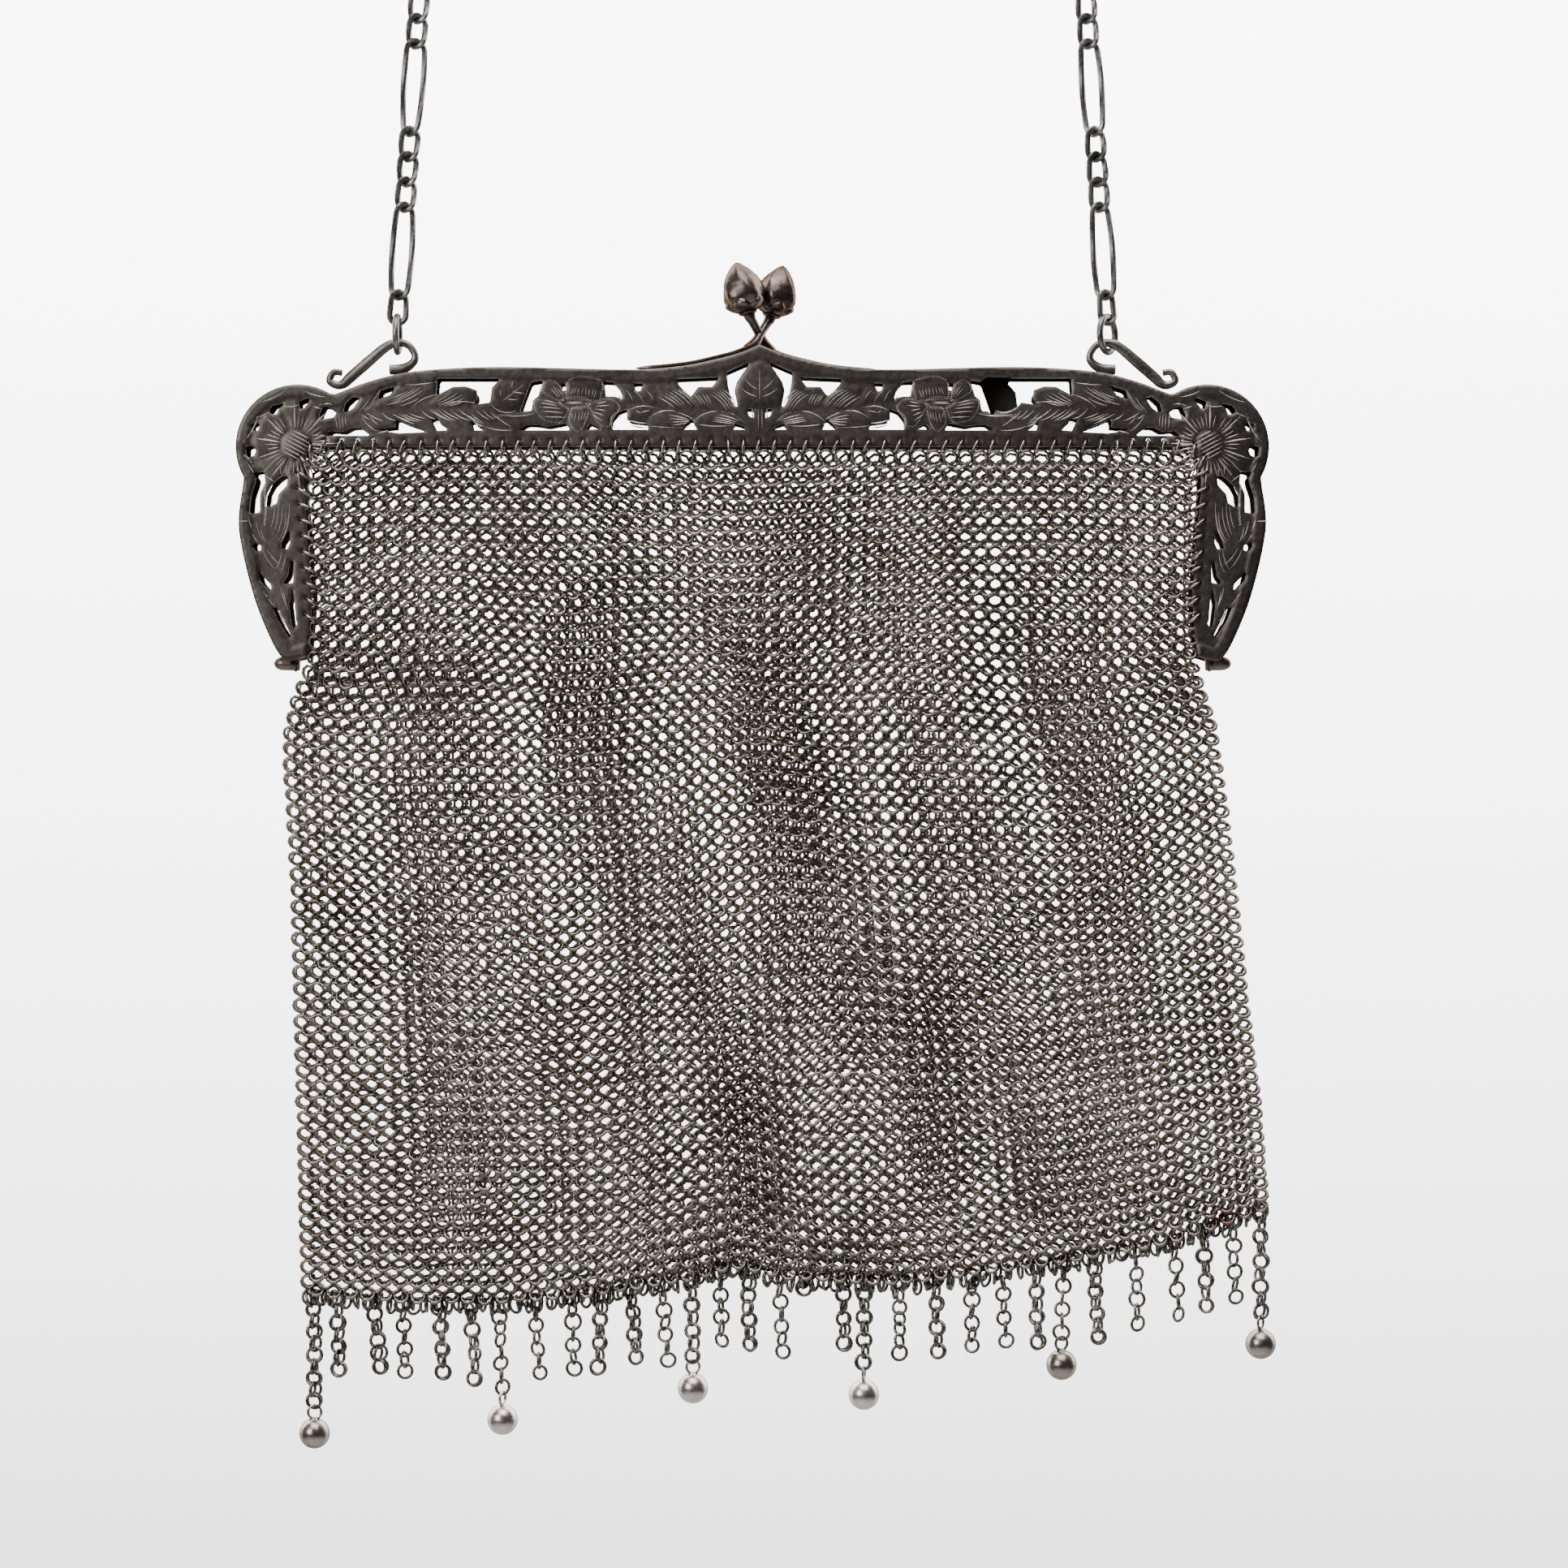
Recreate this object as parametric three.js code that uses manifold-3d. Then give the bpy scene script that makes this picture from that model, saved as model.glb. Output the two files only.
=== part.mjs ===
// A metal ring-mesh purse hung by its figaro chain, in millimetres with +Z up.
// Two pierced and engraved frame halves are hinged at the tips of their arms and close with a
// pair of buds. The origin is where the chain hangs over an arm or a peg, under its top link.
import * as THREE from 'three';
import { mergeVertices } from 'three/addons/utils/BufferGeometryUtils.js';
import Module from 'manifold-3d';

// Driving sizes of the frame halves
const frameWidth = 170;
const frameRise = 16.9;
const armLength = 35.5;
const frameDepth = 8;
const plateThickness = 0.8;
const closingGap = 0.4;
const rimWidth = 2.15;
const bandWidth = 2.8;
const lobeRadius = 10.3;
const openingCorner = 3.4;

// Driving sizes of the clasp, the hinges and the chain hooks
const budWidth = 6.4;
const budHeight = 9.2;
const stemThickness = 1.4;
const claspStripLength = 20;
const claspStripThickness = 0.9;
const claspStripWidth = 2.6;
const budLean = 27;
const budOffset = 0.4;
const stemReach = 3.4;
const crossingHeight = 2.6;
const hingeDiameter = 2.7;
const hingeLength = 4.4;
const hookWire = 1.3;
const hookHeight = 6.4;

// Driving sizes of the chain
const chainWire = 1.15;
const shortLinkLength = 6.2;
const shortLinkWidth = 3.8;
const longLinkLength = 16.6;
const longLinkWidth = 4.3;
const longLinkCount = 11;
const shortLinksBetween = 3;
const linkTwist = 45;
const linkBite = 0.3;
const strandLean = 3.86;
const jumpRingDiameter = 7;
const jumpRingWire = 1.15;
const rightRingTurn = 30;

// Driving sizes of the mesh bag and its fringe
const bagDrop = 139.8;
const bagWall = 1.4;
const bagHalfDepth = 5.2;
const foldHeight = 0.9;
const foldCount = 4.5;
const headerHeight = 1.5;
const stripThickness = 1.1;
const strandCount = 31;
const strandsPerBall = 6;
const strandLength = 14.6;
const strandSway = 0.05;
const ballStrandLength = 18.2;
const eyeDiameter = 2.7;
const eyeWire = 0.5;
const ballDiameter = 5.1;

// Clearances
const seatGap = 0.3;
const linkGap = 0.15;

// The top edge from the peak to the notch beside the corner lobe,
// as shares of half the frame's width and of its rise
const topRows = [
  { out: 0, rise: 1 },
  { out: 0.04, rise: 0.917 },
  { out: 0.088, rise: 0.852 },
  { out: 0.15, rise: 0.79 },
  { out: 0.24, rise: 0.755 },
  { out: 0.38, rise: 0.768 },
  { out: 0.52, rise: 0.779 },
  { out: 0.656, rise: 0.74 },
  { out: 0.74, rise: 0.65 },
  { out: 0.813, rise: 0.515 },
];

// The arm's outer edge, as shares of half the width and of the way from the lobe to the arm's tip
const armRows = [
  { out: 1, down: 0.173 },
  { out: 1, down: 0.291 },
  { out: 0.987, down: 0.48 },
  { out: 0.966, down: 0.693 },
  { out: 0.936, down: 0.894 },
  { out: 0.916, down: 0.982 },
];

// The arm's inner edge from its tip up to the opening's corner, in the same shares
const innerRows = [
  { out: 0.9, drop: 1 },
  { out: 0.868, drop: 0.98 },
  { out: 0.862, drop: 0.85 },
  { out: 0.86, drop: 0.6 },
];

// Leaves, petals and stems sawn out of one half of the top bar: the foot and the tip of each,
// and its width, as shares of half the frame's width (out) and of its rise (up, width)
const leafRows = [
  { out: 0.773, up: 0.334, tipOut: 0.722, tipUp: 0.573, width: 0.11 },
  { out: 0.746, up: 0.334, tipOut: 0.604, tipUp: 0.64, width: 0.22 },
  { out: 0.651, up: 0.374, tipOut: 0.532, tipUp: 0.53, width: 0.23 },
  { out: 0.776, up: 0.302, tipOut: 0.742, tipUp: 0.11, width: 0.1 },
  { out: 0.751, up: 0.342, tipOut: 0.692, tipUp: 0.15, width: 0.13 },
  { out: 0.71, up: 0.358, tipOut: 0.611, tipUp: 0.13, width: 0.15 },
  { out: 0.651, up: 0.366, tipOut: 0.539, tipUp: 0.155, width: 0.14 },
  { out: 0.588, up: 0.382, tipOut: 0.466, tipUp: 0.15, width: 0.16 },
  { out: 0.016, up: 0.2, tipOut: 0.068, tipUp: 0.69, width: 0.29 },
  { out: 0.035, up: 0.23, tipOut: 0.191, tipUp: 0.61, width: 0.33 },
  { out: 0.103, up: 0.25, tipOut: 0.27, tipUp: 0.62, width: 0.34 },
  { out: 0.019, up: 0.17, tipOut: 0.125, tipUp: 0.24, width: 0.17 },
  { out: 0.106, up: 0.17, tipOut: 0.213, tipUp: 0.22, width: 0.17 },
];
const stemRows = [
  { out: 0.8, up: 0.3, tipOut: 0.45, tipUp: 0.36, width: 0.08 },
  { out: 0.51, up: 0.33, tipOut: 0.36, tipUp: 0.36, width: 0.1 },
  { out: 0.73, up: 0.56, tipOut: 0.61, tipUp: 0.66, width: 0.1 },
  { out: 0.2, up: 0.6, tipOut: 0.18, tipUp: 0.72, width: 0.1 },
];

// The heart-shaped leaf between branch and flower, lost from the right of the front half
const heartLeaf = { out: 0.473, up: 0.34, tipOut: 0.466, tipUp: 0.72, width: 0.42 };

// The five-petal flower: each petal's angle in degrees, and its length and width
// as shares of the rise
const flowerOut = 0.342;
const flowerUp = 0.426;
const petalRows = [
  { angle: 153, length: 0.4, width: 0.3 },
  { angle: 62, length: 0.34, width: 0.32 },
  { angle: -18, length: 0.39, width: 0.28 },
  { angle: -74, length: 0.32, width: 0.27 },
  { angle: 204, length: 0.43, width: 0.3 },
];

// The upright bud leaf in the middle of the bar, on the line between the halves
const middleLeaf = { out: 0, up: 0.3, tipOut: 0, tipUp: 0.86, width: 0.46 };
const middleStem = { out: 0, up: 0.1, tipOut: 0, tipUp: 0.4, width: 0.07 };

// Slots pierced through the corner lobe: start, end and width,
// as shares of half the width and of the rise
const slotRows = [
  { out: 0.881, up: 0.39, tipOut: 0.863, tipUp: 0.475, width: 0.07 },
  { out: 0.94, up: 0.326, tipOut: 0.913, tipUp: 0.42, width: 0.06 },
  { out: 0.978, up: 0, tipOut: 0.974, tipUp: -0.07, width: 0.05 },
  { out: 0.845, up: 0.302, tipOut: 0.81, tipUp: 0.335, width: 0.11 },
  { out: 0.838, up: 0.125, tipOut: 0.745, tipUp: 0.13, width: 0.08 },
  { out: 0.795, up: 0.34, tipOut: 0.765, tipUp: 0.485, width: 0.07 },
];

// Slots pierced through the arm: start and end as shares of half the width and of the arm's
// length, and width as a share of the rise
const armSlotRows = [
  { out: 0.955, drop: 0.124, tipOut: 0.968, tipDrop: 0.314, width: 0.065 },
  { out: 0.913, drop: 0.143, tipOut: 0.936, tipDrop: 0.286, width: 0.09 },
  { out: 0.897, drop: 0.409, tipOut: 0.908, tipDrop: 0.49, width: 0.055 },
  { out: 0.967, drop: 0.476, tipOut: 0.955, tipDrop: 0.505, width: 0.06 },
  { out: 0.893, drop: 0.557, tipOut: 0.905, tipDrop: 0.662, width: 0.05 },
  { out: 0.89, drop: 0.695, tipOut: 0.886, tipDrop: 0.881, width: 0.045 },
  { out: 0.925, drop: 0.785, tipOut: 0.897, tipDrop: 0.919, width: 0.04 },
];
const windowEnd = 0.745;
const topSteps = 14;
const leafSteps = 3;
const slotSteps = 2;
const flangeShare = 0.9;

// How blunt a sawn form is: a leaf is fullest in its middle, a stem is almost straight-sided
const leafBlunt = 0.6;
const stemBlunt = 0.2;
const slotBlunt = 0.5;

// The bag's edges, as shares of its drop, of half the frame's width and of its half depth
const bagRows = [
  { drop: 0, left: 0.822, right: 0.822, depth: 0.69, edge: 0.69 },
  { drop: 0.026, left: 0.857, right: 0.857, depth: 0.72, edge: 0.69 },
  { drop: 0.12, left: 0.857, right: 0.857, depth: 0.85, edge: 0.69 },
  { drop: 0.24, left: 0.857, right: 0.857, depth: 1, edge: 0.66 },
  { drop: 0.275, left: 0.859, right: 0.861, depth: 1, edge: 0.6 },
  { drop: 0.317, left: 0.918, right: 0.911, depth: 1, edge: 0.5 },
  { drop: 0.37, left: 0.922, right: 0.918, depth: 0.98, edge: 0.46 },
  { drop: 0.5, left: 0.906, right: 0.943, depth: 0.94, edge: 0.44 },
  { drop: 0.66, left: 0.9, right: 0.968, depth: 0.88, edge: 0.42 },
  { drop: 0.83, left: 0.891, right: 0.999, depth: 0.78, edge: 0.4 },
  { drop: 1, left: 0.886, right: 1.015, depth: 0.6, edge: 0.38 },
];

const slitDrop = 0.24;

// The hem: how far down it lies across the bag, as a share of the drop
const hemRows = [
  { across: 0, drop: 1 },
  { across: 0.2, drop: 1.01 },
  { across: 0.4, drop: 0.981 },
  { across: 0.45, drop: 0.965 },
  { across: 0.5, drop: 0.981 },
  { across: 0.61, drop: 0.986 },
  { across: 0.78, drop: 0.962 },
  { across: 0.9, drop: 0.937 },
  { across: 1, drop: 0.894 },
];

// The bent wire that holds the chain, from its foot over the crest and down to its curl,
// as shares of the hook's height: along is outwards from the crest, up from the flange
const hookRows = [
  { along: 0.23, up: 0.13 },
  { along: -0.13, up: 0.23 },
  { along: -0.35, up: 0.37 },
  { along: -0.36, up: 0.56 },
  { along: -0.17, up: 0.79 },
  { along: 0.05, up: 0.86 },
  { along: 0.35, up: 0.75 },
  { along: 0.85, up: 0.33 },
  { along: 1.26, up: -0.03 },
  { along: 1.44, up: -0.2 },
  { along: 1.63, up: -0.24 },
  { along: 1.81, up: -0.12 },
  { along: 1.7, up: 0.09 },
  { along: 1.48, up: 0.08 },
];
const hookOut = 0.69;

// The closing bud from its foot upwards, as shares of its height and of half its width
const budRows = [
  { up: 0, radius: 0 },
  { up: 0.02, radius: 0.34 },
  { up: 0.14, radius: 0.36 },
  { up: 0.28, radius: 0.72 },
  { up: 0.5, radius: 0.97 },
  { up: 0.66, radius: 1 },
  { up: 0.84, radius: 0.78 },
  { up: 0.95, radius: 0.42 },
  { up: 1, radius: 0 },
];

const wireSides = 5;
const ringSides = 10;

const halfWidth = frameWidth / 2;
const plateOuter = frameDepth / 2;
const flangeMiddle = (frameDepth + closingGap) / 4;
const bagColumns = 16;
const holdsBall = (strand) => strand % strandsPerBall === 0;
const ballStrands = Array.from({ length: strandCount }, (_, i) => i).filter(holdsBall);
const upAxis = new THREE.Vector3(0, 0, 1);
const wasm = await Module();
wasm.setup();

const silver = (name, colour, roughness) =>
  new THREE.MeshStandardMaterial({ name, color: colour, roughness, metalness: 1 });
const frameMetal = silver('frame_silver', 0x5a544f, 0.45);
const chainMetal = silver('chain_silver', 0x6f6a65, 0.4);
const meshMetal = silver('mesh_silver', 0x8c857d, 0.5);
const ballMetal = silver('ball_silver', 0x9a8f8a, 0.35);

// A three.js geometry as a manifold solid
function solid(geometry) {
  const bare = new THREE.BufferGeometry();
  bare.setAttribute('position', geometry.getAttribute('position'));
  bare.setIndex(geometry.getIndex());
  const merged = mergeVertices(bare, 1e-4);
  const mesh = new wasm.Mesh({
    numProp: 3,
    vertProperties: new Float32Array(merged.getAttribute('position').array),
    triVerts: new Uint32Array(merged.getIndex().array),
  });
  return new wasm.Manifold(mesh);
}

// A manifold solid back as a three.js geometry
function geometryOf(body) {
  const mesh = body.getMesh();
  const geometry = new THREE.BufferGeometry();
  geometry.setAttribute('position', new THREE.BufferAttribute(mesh.vertProperties, 3));
  geometry.setIndex(new THREE.BufferAttribute(mesh.triVerts, 1));
  geometry.computeVertexNormals();
  return geometry;
}

function joined(geometries) {
  return geometries.map(solid).reduce((whole, piece) => whole.add(piece));
}

function piece(name, geometry, material) {
  const mesh = new THREE.Mesh(geometry, material);
  mesh.name = name;
  return mesh;
}

// A flat outline in x and z, given as points, pulled from y = front to y = back
function slab(points, front, back) {
  const shape = new THREE.Shape(points);
  const geometry = new THREE.ExtrudeGeometry(shape, { depth: back - front, bevelEnabled: false });
  geometry.rotateX(Math.PI / 2);
  geometry.translate(0, back, 0);
  return geometry;
}

// A round wire along a curve
function wire(curve, thickness, steps) {
  const sides = 6;
  const section = Array.from({ length: sides }, (_, i) => {
    const angle = (2 * Math.PI * i) / sides;
    return new THREE.Vector2(Math.cos(angle), Math.sin(angle)).multiplyScalar(thickness / 2);
  });
  return new THREE.ExtrudeGeometry(new THREE.Shape(section), { steps, extrudePath: curve });
}

// A line moved to its left by a distance, each point along its own normal
function offsetLine(points, distance) {
  return points.map((point, i) => {
    const before = points[Math.max(i - 1, 0)];
    const after = points[Math.min(i + 1, points.length - 1)];
    const along = new THREE.Vector2().subVectors(after, before).normalize();
    return new THREE.Vector2(point.x - along.y * distance, point.y + along.x * distance);
  });
}

const mirrored = (points) => points.map((p) => new THREE.Vector2(-p.x, p.y)).reverse();

// Height of the frame's top edge at a distance from the middle, between the notches
const topCurve = new THREE.SplineCurve(
  topRows.map((row) => new THREE.Vector2(-row.out * halfWidth, row.rise * frameRise)),
);
function topAt(distance) {
  const samples = topCurve.getPoints(60);
  const past = samples.find((point) => -point.x >= distance);
  return past ? past.y : samples[samples.length - 1].y;
}

// Left half of the outer edge, from the peak round the corner lobe to the tip of the arm
function outerHalf() {
  const notch = topRows[topRows.length - 1];
  const lobe = new THREE.Vector2(-notch.out * halfWidth - 0.6 * lobeRadius, 0);
  const start = Math.atan2(notch.rise * frameRise, -notch.out * halfWidth - lobe.x);
  const end = THREE.MathUtils.degToRad(212);
  const points = topCurve.getPoints(topSteps).slice(0, -1);
  const lobeSteps = 8;
  for (let i = 0; i <= lobeSteps; i += 1) {
    const angle = start + (end - start) * (i / lobeSteps);
    points.push(new THREE.Vector2(Math.cos(angle), Math.sin(angle)).multiplyScalar(lobeRadius).add(lobe));
  }
  const lobeFoot = points[points.length - 1].y;
  const armLeft = armLength + lobeFoot;
  armRows.forEach((row) =>
    points.push(new THREE.Vector2(-row.out * halfWidth, lobeFoot - row.down * armLeft)),
  );
  return points;
}

// Left half of the opening's edge, from the arm's tip to the middle of the bar
function innerHalf() {
  const points = innerRows.map((row) => new THREE.Vector2(-row.out * halfWidth, -row.drop * armLength));
  const cornerX = -0.872 * halfWidth;
  const cornerSteps = 4;
  for (let i = 0; i <= cornerSteps; i += 1) {
    const angle = Math.PI - (Math.PI / 2) * (i / cornerSteps);
    points.push(
      new THREE.Vector2(
        cornerX + openingCorner * (1 + Math.cos(angle)),
        openingCorner * (Math.sin(angle) - 1),
      ),
    );
  }
  return points;
}

// The whole outer edge and the whole opening's edge, both from the left tip to the right one
const outerLeft = outerHalf().reverse();
const outerLine = [...outerLeft, ...mirrored(outerLeft).slice(1)];
const openingLine = [...innerHalf(), ...mirrored(innerHalf())];

// A leaf or a slot: a pointed oval from its foot to its tip
function leafOutline(row, blunt, sideSteps) {
  const foot = new THREE.Vector2(-row.out * halfWidth, row.up * frameRise);
  const tip = new THREE.Vector2(-row.tipOut * halfWidth, row.tipUp * frameRise);
  const along = new THREE.Vector2().subVectors(tip, foot);
  const across = new THREE.Vector2(-along.y, along.x).normalize();
  const halfLeaf = (row.width * frameRise) / 2;
  const side = (sign) =>
    Array.from({ length: sideSteps }, (_, i) => {
      const share = (i + 0.5) / sideSteps;
      const reach = sign * halfLeaf * Math.sin(Math.PI * share) ** blunt;
      return foot.clone().addScaledVector(along, share).addScaledVector(across, reach);
    });
  return [foot, ...side(-1), tip, ...side(1).reverse()];
}

// A petal of the flower, as a leaf that starts at the flower's heart
function petalRow(petal) {
  const angle = THREE.MathUtils.degToRad(petal.angle);
  const reach = petal.length * frameRise;
  return {
    out: flowerOut,
    up: flowerUp,
    tipOut: flowerOut - (reach * Math.cos(angle)) / halfWidth,
    tipUp: flowerUp + petal.length * Math.sin(angle),
    width: petal.width,
  };
}

// A slot of the arm in the columns of the lobe's slots
function armSlot(row) {
  const upOf = (drop) => (-drop * armLength) / frameRise;
  return { ...row, up: upOf(row.drop), tipUp: upOf(row.tipDrop) };
}

const otherSide = (row) => ({ ...row, out: -row.out, tipOut: -row.tipOut });

// One frame half: the pierced plate, its outer face at the front, and the flange round its edge
function frameHalf(leafLost) {
  const front = -plateOuter;
  const back = front + plateThickness;
  const outline = [...outerLine, ...[...openingLine].reverse()];
  const rim = offsetLine(outerLine, -rimWidth);
  const windowTop = rim.filter((p) => Math.abs(p.x) < windowEnd * halfWidth && p.y > bandWidth);
  const windowOutline = [
    ...windowTop,
    new THREE.Vector2(windowTop[windowTop.length - 1].x, bandWidth),
    new THREE.Vector2(windowTop[0].x, bandWidth),
  ];
  const cut = (points) => solid(slab(points, front - plateThickness, back + plateThickness));
  const keep = (points) => solid(slab(points, front, back));
  const blank = keep(outline);
  const both = (rows) => [...rows, ...rows.map(otherSide)];
  let plate = blank.subtract(cut(windowOutline));
  both([...leafRows, ...petalRows.map(petalRow)]).forEach((row) => {
    plate = plate.add(keep(leafOutline(row, leafBlunt, leafSteps)));
  });
  both(stemRows).forEach((row) => {
    plate = plate.add(keep(leafOutline(row, stemBlunt, slotSteps)));
  });
  const whole = leafLost ? [heartLeaf, middleLeaf] : [heartLeaf, otherSide(heartLeaf), middleLeaf];
  whole.forEach((row) => {
    plate = plate.add(keep(leafOutline(row, leafBlunt, leafSteps)));
  });
  plate = plate.add(keep(leafOutline(middleStem, stemBlunt, slotSteps)));
  both([...slotRows, ...armSlotRows.map(armSlot)]).forEach((row) => {
    plate = plate.subtract(cut(leafOutline(row, slotBlunt, slotSteps)));
  });
  plate = plate.intersect(blank);
  const flangeLine = outerLine.filter((p) => p.y > -flangeShare * armLength);
  const flangeInner = offsetLine(flangeLine, -plateThickness).reverse();
  const flange = slab([...flangeLine, ...flangeInner], back - plateThickness / 2, -closingGap / 2);
  return geometryOf(plate.add(solid(flange)));
}

// A bud on its stem, with the strip that is riveted along the frame's top flange
function claspHalf() {
  const lift = (gap) => offsetLine(topCurve.getPoints(topSteps), -gap);
  const near = (points) => points.filter((p) => p.x > -claspStripLength && p.x < -stemThickness / 2);
  const under = near(lift(seatGap));
  const over = near(lift(seatGap + claspStripThickness)).reverse();
  const stripFront = -flangeMiddle - claspStripWidth / 2;
  const strip = slab([...under, ...over], stripFront, stripFront + claspStripWidth);
  const stripEnd = under[0];
  const leanX = Math.sin(THREE.MathUtils.degToRad(budLean));
  const leanZ = Math.cos(THREE.MathUtils.degToRad(budLean));
  const crossing = new THREE.Vector3(0, -stemThickness / 2 - linkGap, frameRise + crossingHeight);
  const budFoot = new THREE.Vector3(leanX, 0, leanZ).multiplyScalar(stemReach).add(crossing);
  budFoot.y = budOffset;
  const stem = new THREE.CatmullRomCurve3([
    new THREE.Vector3(stripEnd.x - stemThickness / 2, -flangeMiddle, stripEnd.y + claspStripThickness / 2),
    new THREE.Vector3(-stemThickness / 3, (crossing.y - flangeMiddle) / 2, frameRise + crossingHeight / 2),
    crossing,
    budFoot,
    new THREE.Vector3(leanX, 0, leanZ).multiplyScalar(budHeight / 4).add(budFoot),
  ]);
  const profile = budRows.map((row) => new THREE.Vector2((row.radius * budWidth) / 2, row.up * budHeight));
  const bud = new THREE.LatheGeometry(profile, 10);
  bud.rotateX(Math.PI / 2);
  bud.rotateY(THREE.MathUtils.degToRad(budLean));
  bud.translate(budFoot.x, budFoot.y, budFoot.z);
  return geometryOf(joined([strip, wire(stem, stemThickness, 6), bud]));
}

// A hinge: a knuckle with a rounded outer end, and the lug between the arms that it turns on
function hinge() {
  const radius = hingeDiameter / 2;
  const profile = [
    new THREE.Vector2(0, 0),
    new THREE.Vector2(radius, 0),
    new THREE.Vector2(radius, hingeLength - radius / 2),
    new THREE.Vector2(radius * 0.8, hingeLength - radius / 8),
    new THREE.Vector2(0, hingeLength),
  ];
  const knuckle = new THREE.LatheGeometry(profile, 12);
  knuckle.rotateZ(Math.PI / 2);
  const lugDepth = frameDepth - 2 * (plateThickness + seatGap);
  const lug = new THREE.BoxGeometry(hingeLength / 3, lugDepth, radius);
  lug.translate(-hingeLength / 3, 0, radius / 3);
  const geometry = geometryOf(joined([knuckle, lug]));
  const kneeX = -innerRows[0].out * halfWidth;
  geometry.translate(kneeX + hingeLength / 4, 0, -armLength - radius / 4);
  return geometry;
}

// The bent wire hook on the left of the front flange, foot first
function hook() {
  const crestX = -hookOut * halfWidth;
  const foot = topAt(hookOut * halfWidth + hookRows[0].along * hookHeight);
  const base = foot + seatGap + hookWire / 2 - hookRows[0].up * hookHeight;
  const route = hookRows.map(
    (row) => new THREE.Vector3(crestX - row.along * hookHeight, 0, base + row.up * hookHeight),
  );
  const crest = route.reduce((top, point) => (point.z > top.z ? point : top));
  return { geometry: wire(new THREE.CatmullRomCurve3(route), hookWire, 18), crest };
}

// A ring of round wire that lies in the plane of y and z, turned about the upright by an angle
function ringGeometry(diameter, thickness, turn) {
  const geometry = new THREE.TorusGeometry((diameter - thickness) / 2, thickness / 2, wireSides, ringSides);
  geometry.rotateX(Math.PI / 2);
  geometry.rotateZ(Math.PI / 2 + turn);
  return geometry;
}

// A chain link along +Z: a ring drawn out to an oval and twisted evenly from end to end
function linkGeometry(length, width, fromTwist, toTwist) {
  const ringRadius = (width - chainWire) / 2;
  const straight = (length - width) / 2;
  const geometry = new THREE.TorusGeometry(ringRadius, chainWire / 2, wireSides, ringSides);
  geometry.rotateZ(Math.PI / ringSides);
  geometry.rotateX(Math.PI / 2);
  const place = geometry.getAttribute('position');
  for (let i = 0; i < place.count; i += 1) {
    const point = new THREE.Vector3().fromBufferAttribute(place, i);
    point.z += Math.sign(point.z) * straight;
    const share = point.z / length + 0.5;
    const twist = THREE.MathUtils.degToRad(fromTwist + (toTwist - fromTwist) * share);
    point.applyAxisAngle(upAxis, twist);
    place.setXYZ(i, point.x, point.y, point.z);
  }
  return geometry;
}

// The chain's links in order, and its way from the left jump ring over the hang point to the right
function chainPlan(halfSpan) {
  const reach = (length) => length - 2 * chainWire + linkBite;
  const short = { length: shortLinkLength, width: shortLinkWidth };
  const long = { length: longLinkLength, width: longLinkWidth };
  const links = [short];
  for (let i = 0; i < longLinkCount; i += 1) {
    links.push(long);
    const after = i < longLinkCount - 1 ? shortLinksBetween : 1;
    links.push(...Array.from({ length: after }, () => short));
  }
  const total = links.reduce((sum, link) => sum + reach(link.length), 0);
  const lean = THREE.MathUtils.degToRad(strandLean);
  const sweep = Math.PI - 2 * lean;
  const strand = (total - (halfSpan * sweep) / Math.cos(lean)) / (2 - sweep * Math.tan(lean));
  const archRadius = (halfSpan - strand * Math.sin(lean)) / Math.cos(lean);
  const archTop = longLinkWidth / 2 + reach(longLinkLength) ** 2 / (8 * archRadius);
  const archCentre = archTop - archRadius;
  const startHeight = archCentre + archRadius * Math.sin(lean) - strand * Math.cos(lean);
  const pointAt = (s) => {
    const fromEnd = Math.min(s, total - s);
    const side = s < total / 2 ? -1 : 1;
    if (fromEnd < strand) {
      const x = halfSpan - fromEnd * Math.sin(lean);
      return new THREE.Vector3(side * x, 0, startHeight + fromEnd * Math.cos(lean));
    }
    const angle = lean + (fromEnd - strand) / archRadius;
    const x = side * archRadius * Math.cos(angle);
    return new THREE.Vector3(x, 0, archCentre + archRadius * Math.sin(angle));
  };
  return { links, reach, pointAt, startHeight };
}

// The whole chain, each link laid from joint to joint and biting its neighbours a little
function chainBody(plan) {
  let travelled = 0;
  const last = plan.links.length - 1;
  const placed = plan.links.map((link, i) => {
    const from = plan.pointAt(travelled);
    travelled += plan.reach(link.length);
    const to = plan.pointAt(travelled);
    const fromTwist = i === 0 ? 0 : -linkTwist;
    const toTwist = i === last ? -rightRingTurn : linkTwist;
    const geometry = linkGeometry(link.length, link.width, fromTwist, toTwist);
    const along = new THREE.Vector3().subVectors(to, from).normalize();
    const across = new THREE.Vector3(along.z, 0, -along.x);
    const basis = new THREE.Matrix4().makeBasis(across, new THREE.Vector3(0, 1, 0), along);
    basis.setPosition(from.add(to).multiplyScalar(0.5));
    geometry.applyMatrix4(basis);
    return geometry;
  });
  return geometryOf(joined(placed));
}

// Where a value lies between the rows of a table, by straight lines
function between(rows, key, column, value) {
  const i = Math.max(1, rows.findIndex((row) => row[key] >= value));
  const share = (value - rows[i - 1][key]) / (rows[i][key] - rows[i - 1][key]);
  return rows[i - 1][column] + (rows[i][column] - rows[i - 1][column]) * share;
}

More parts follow.
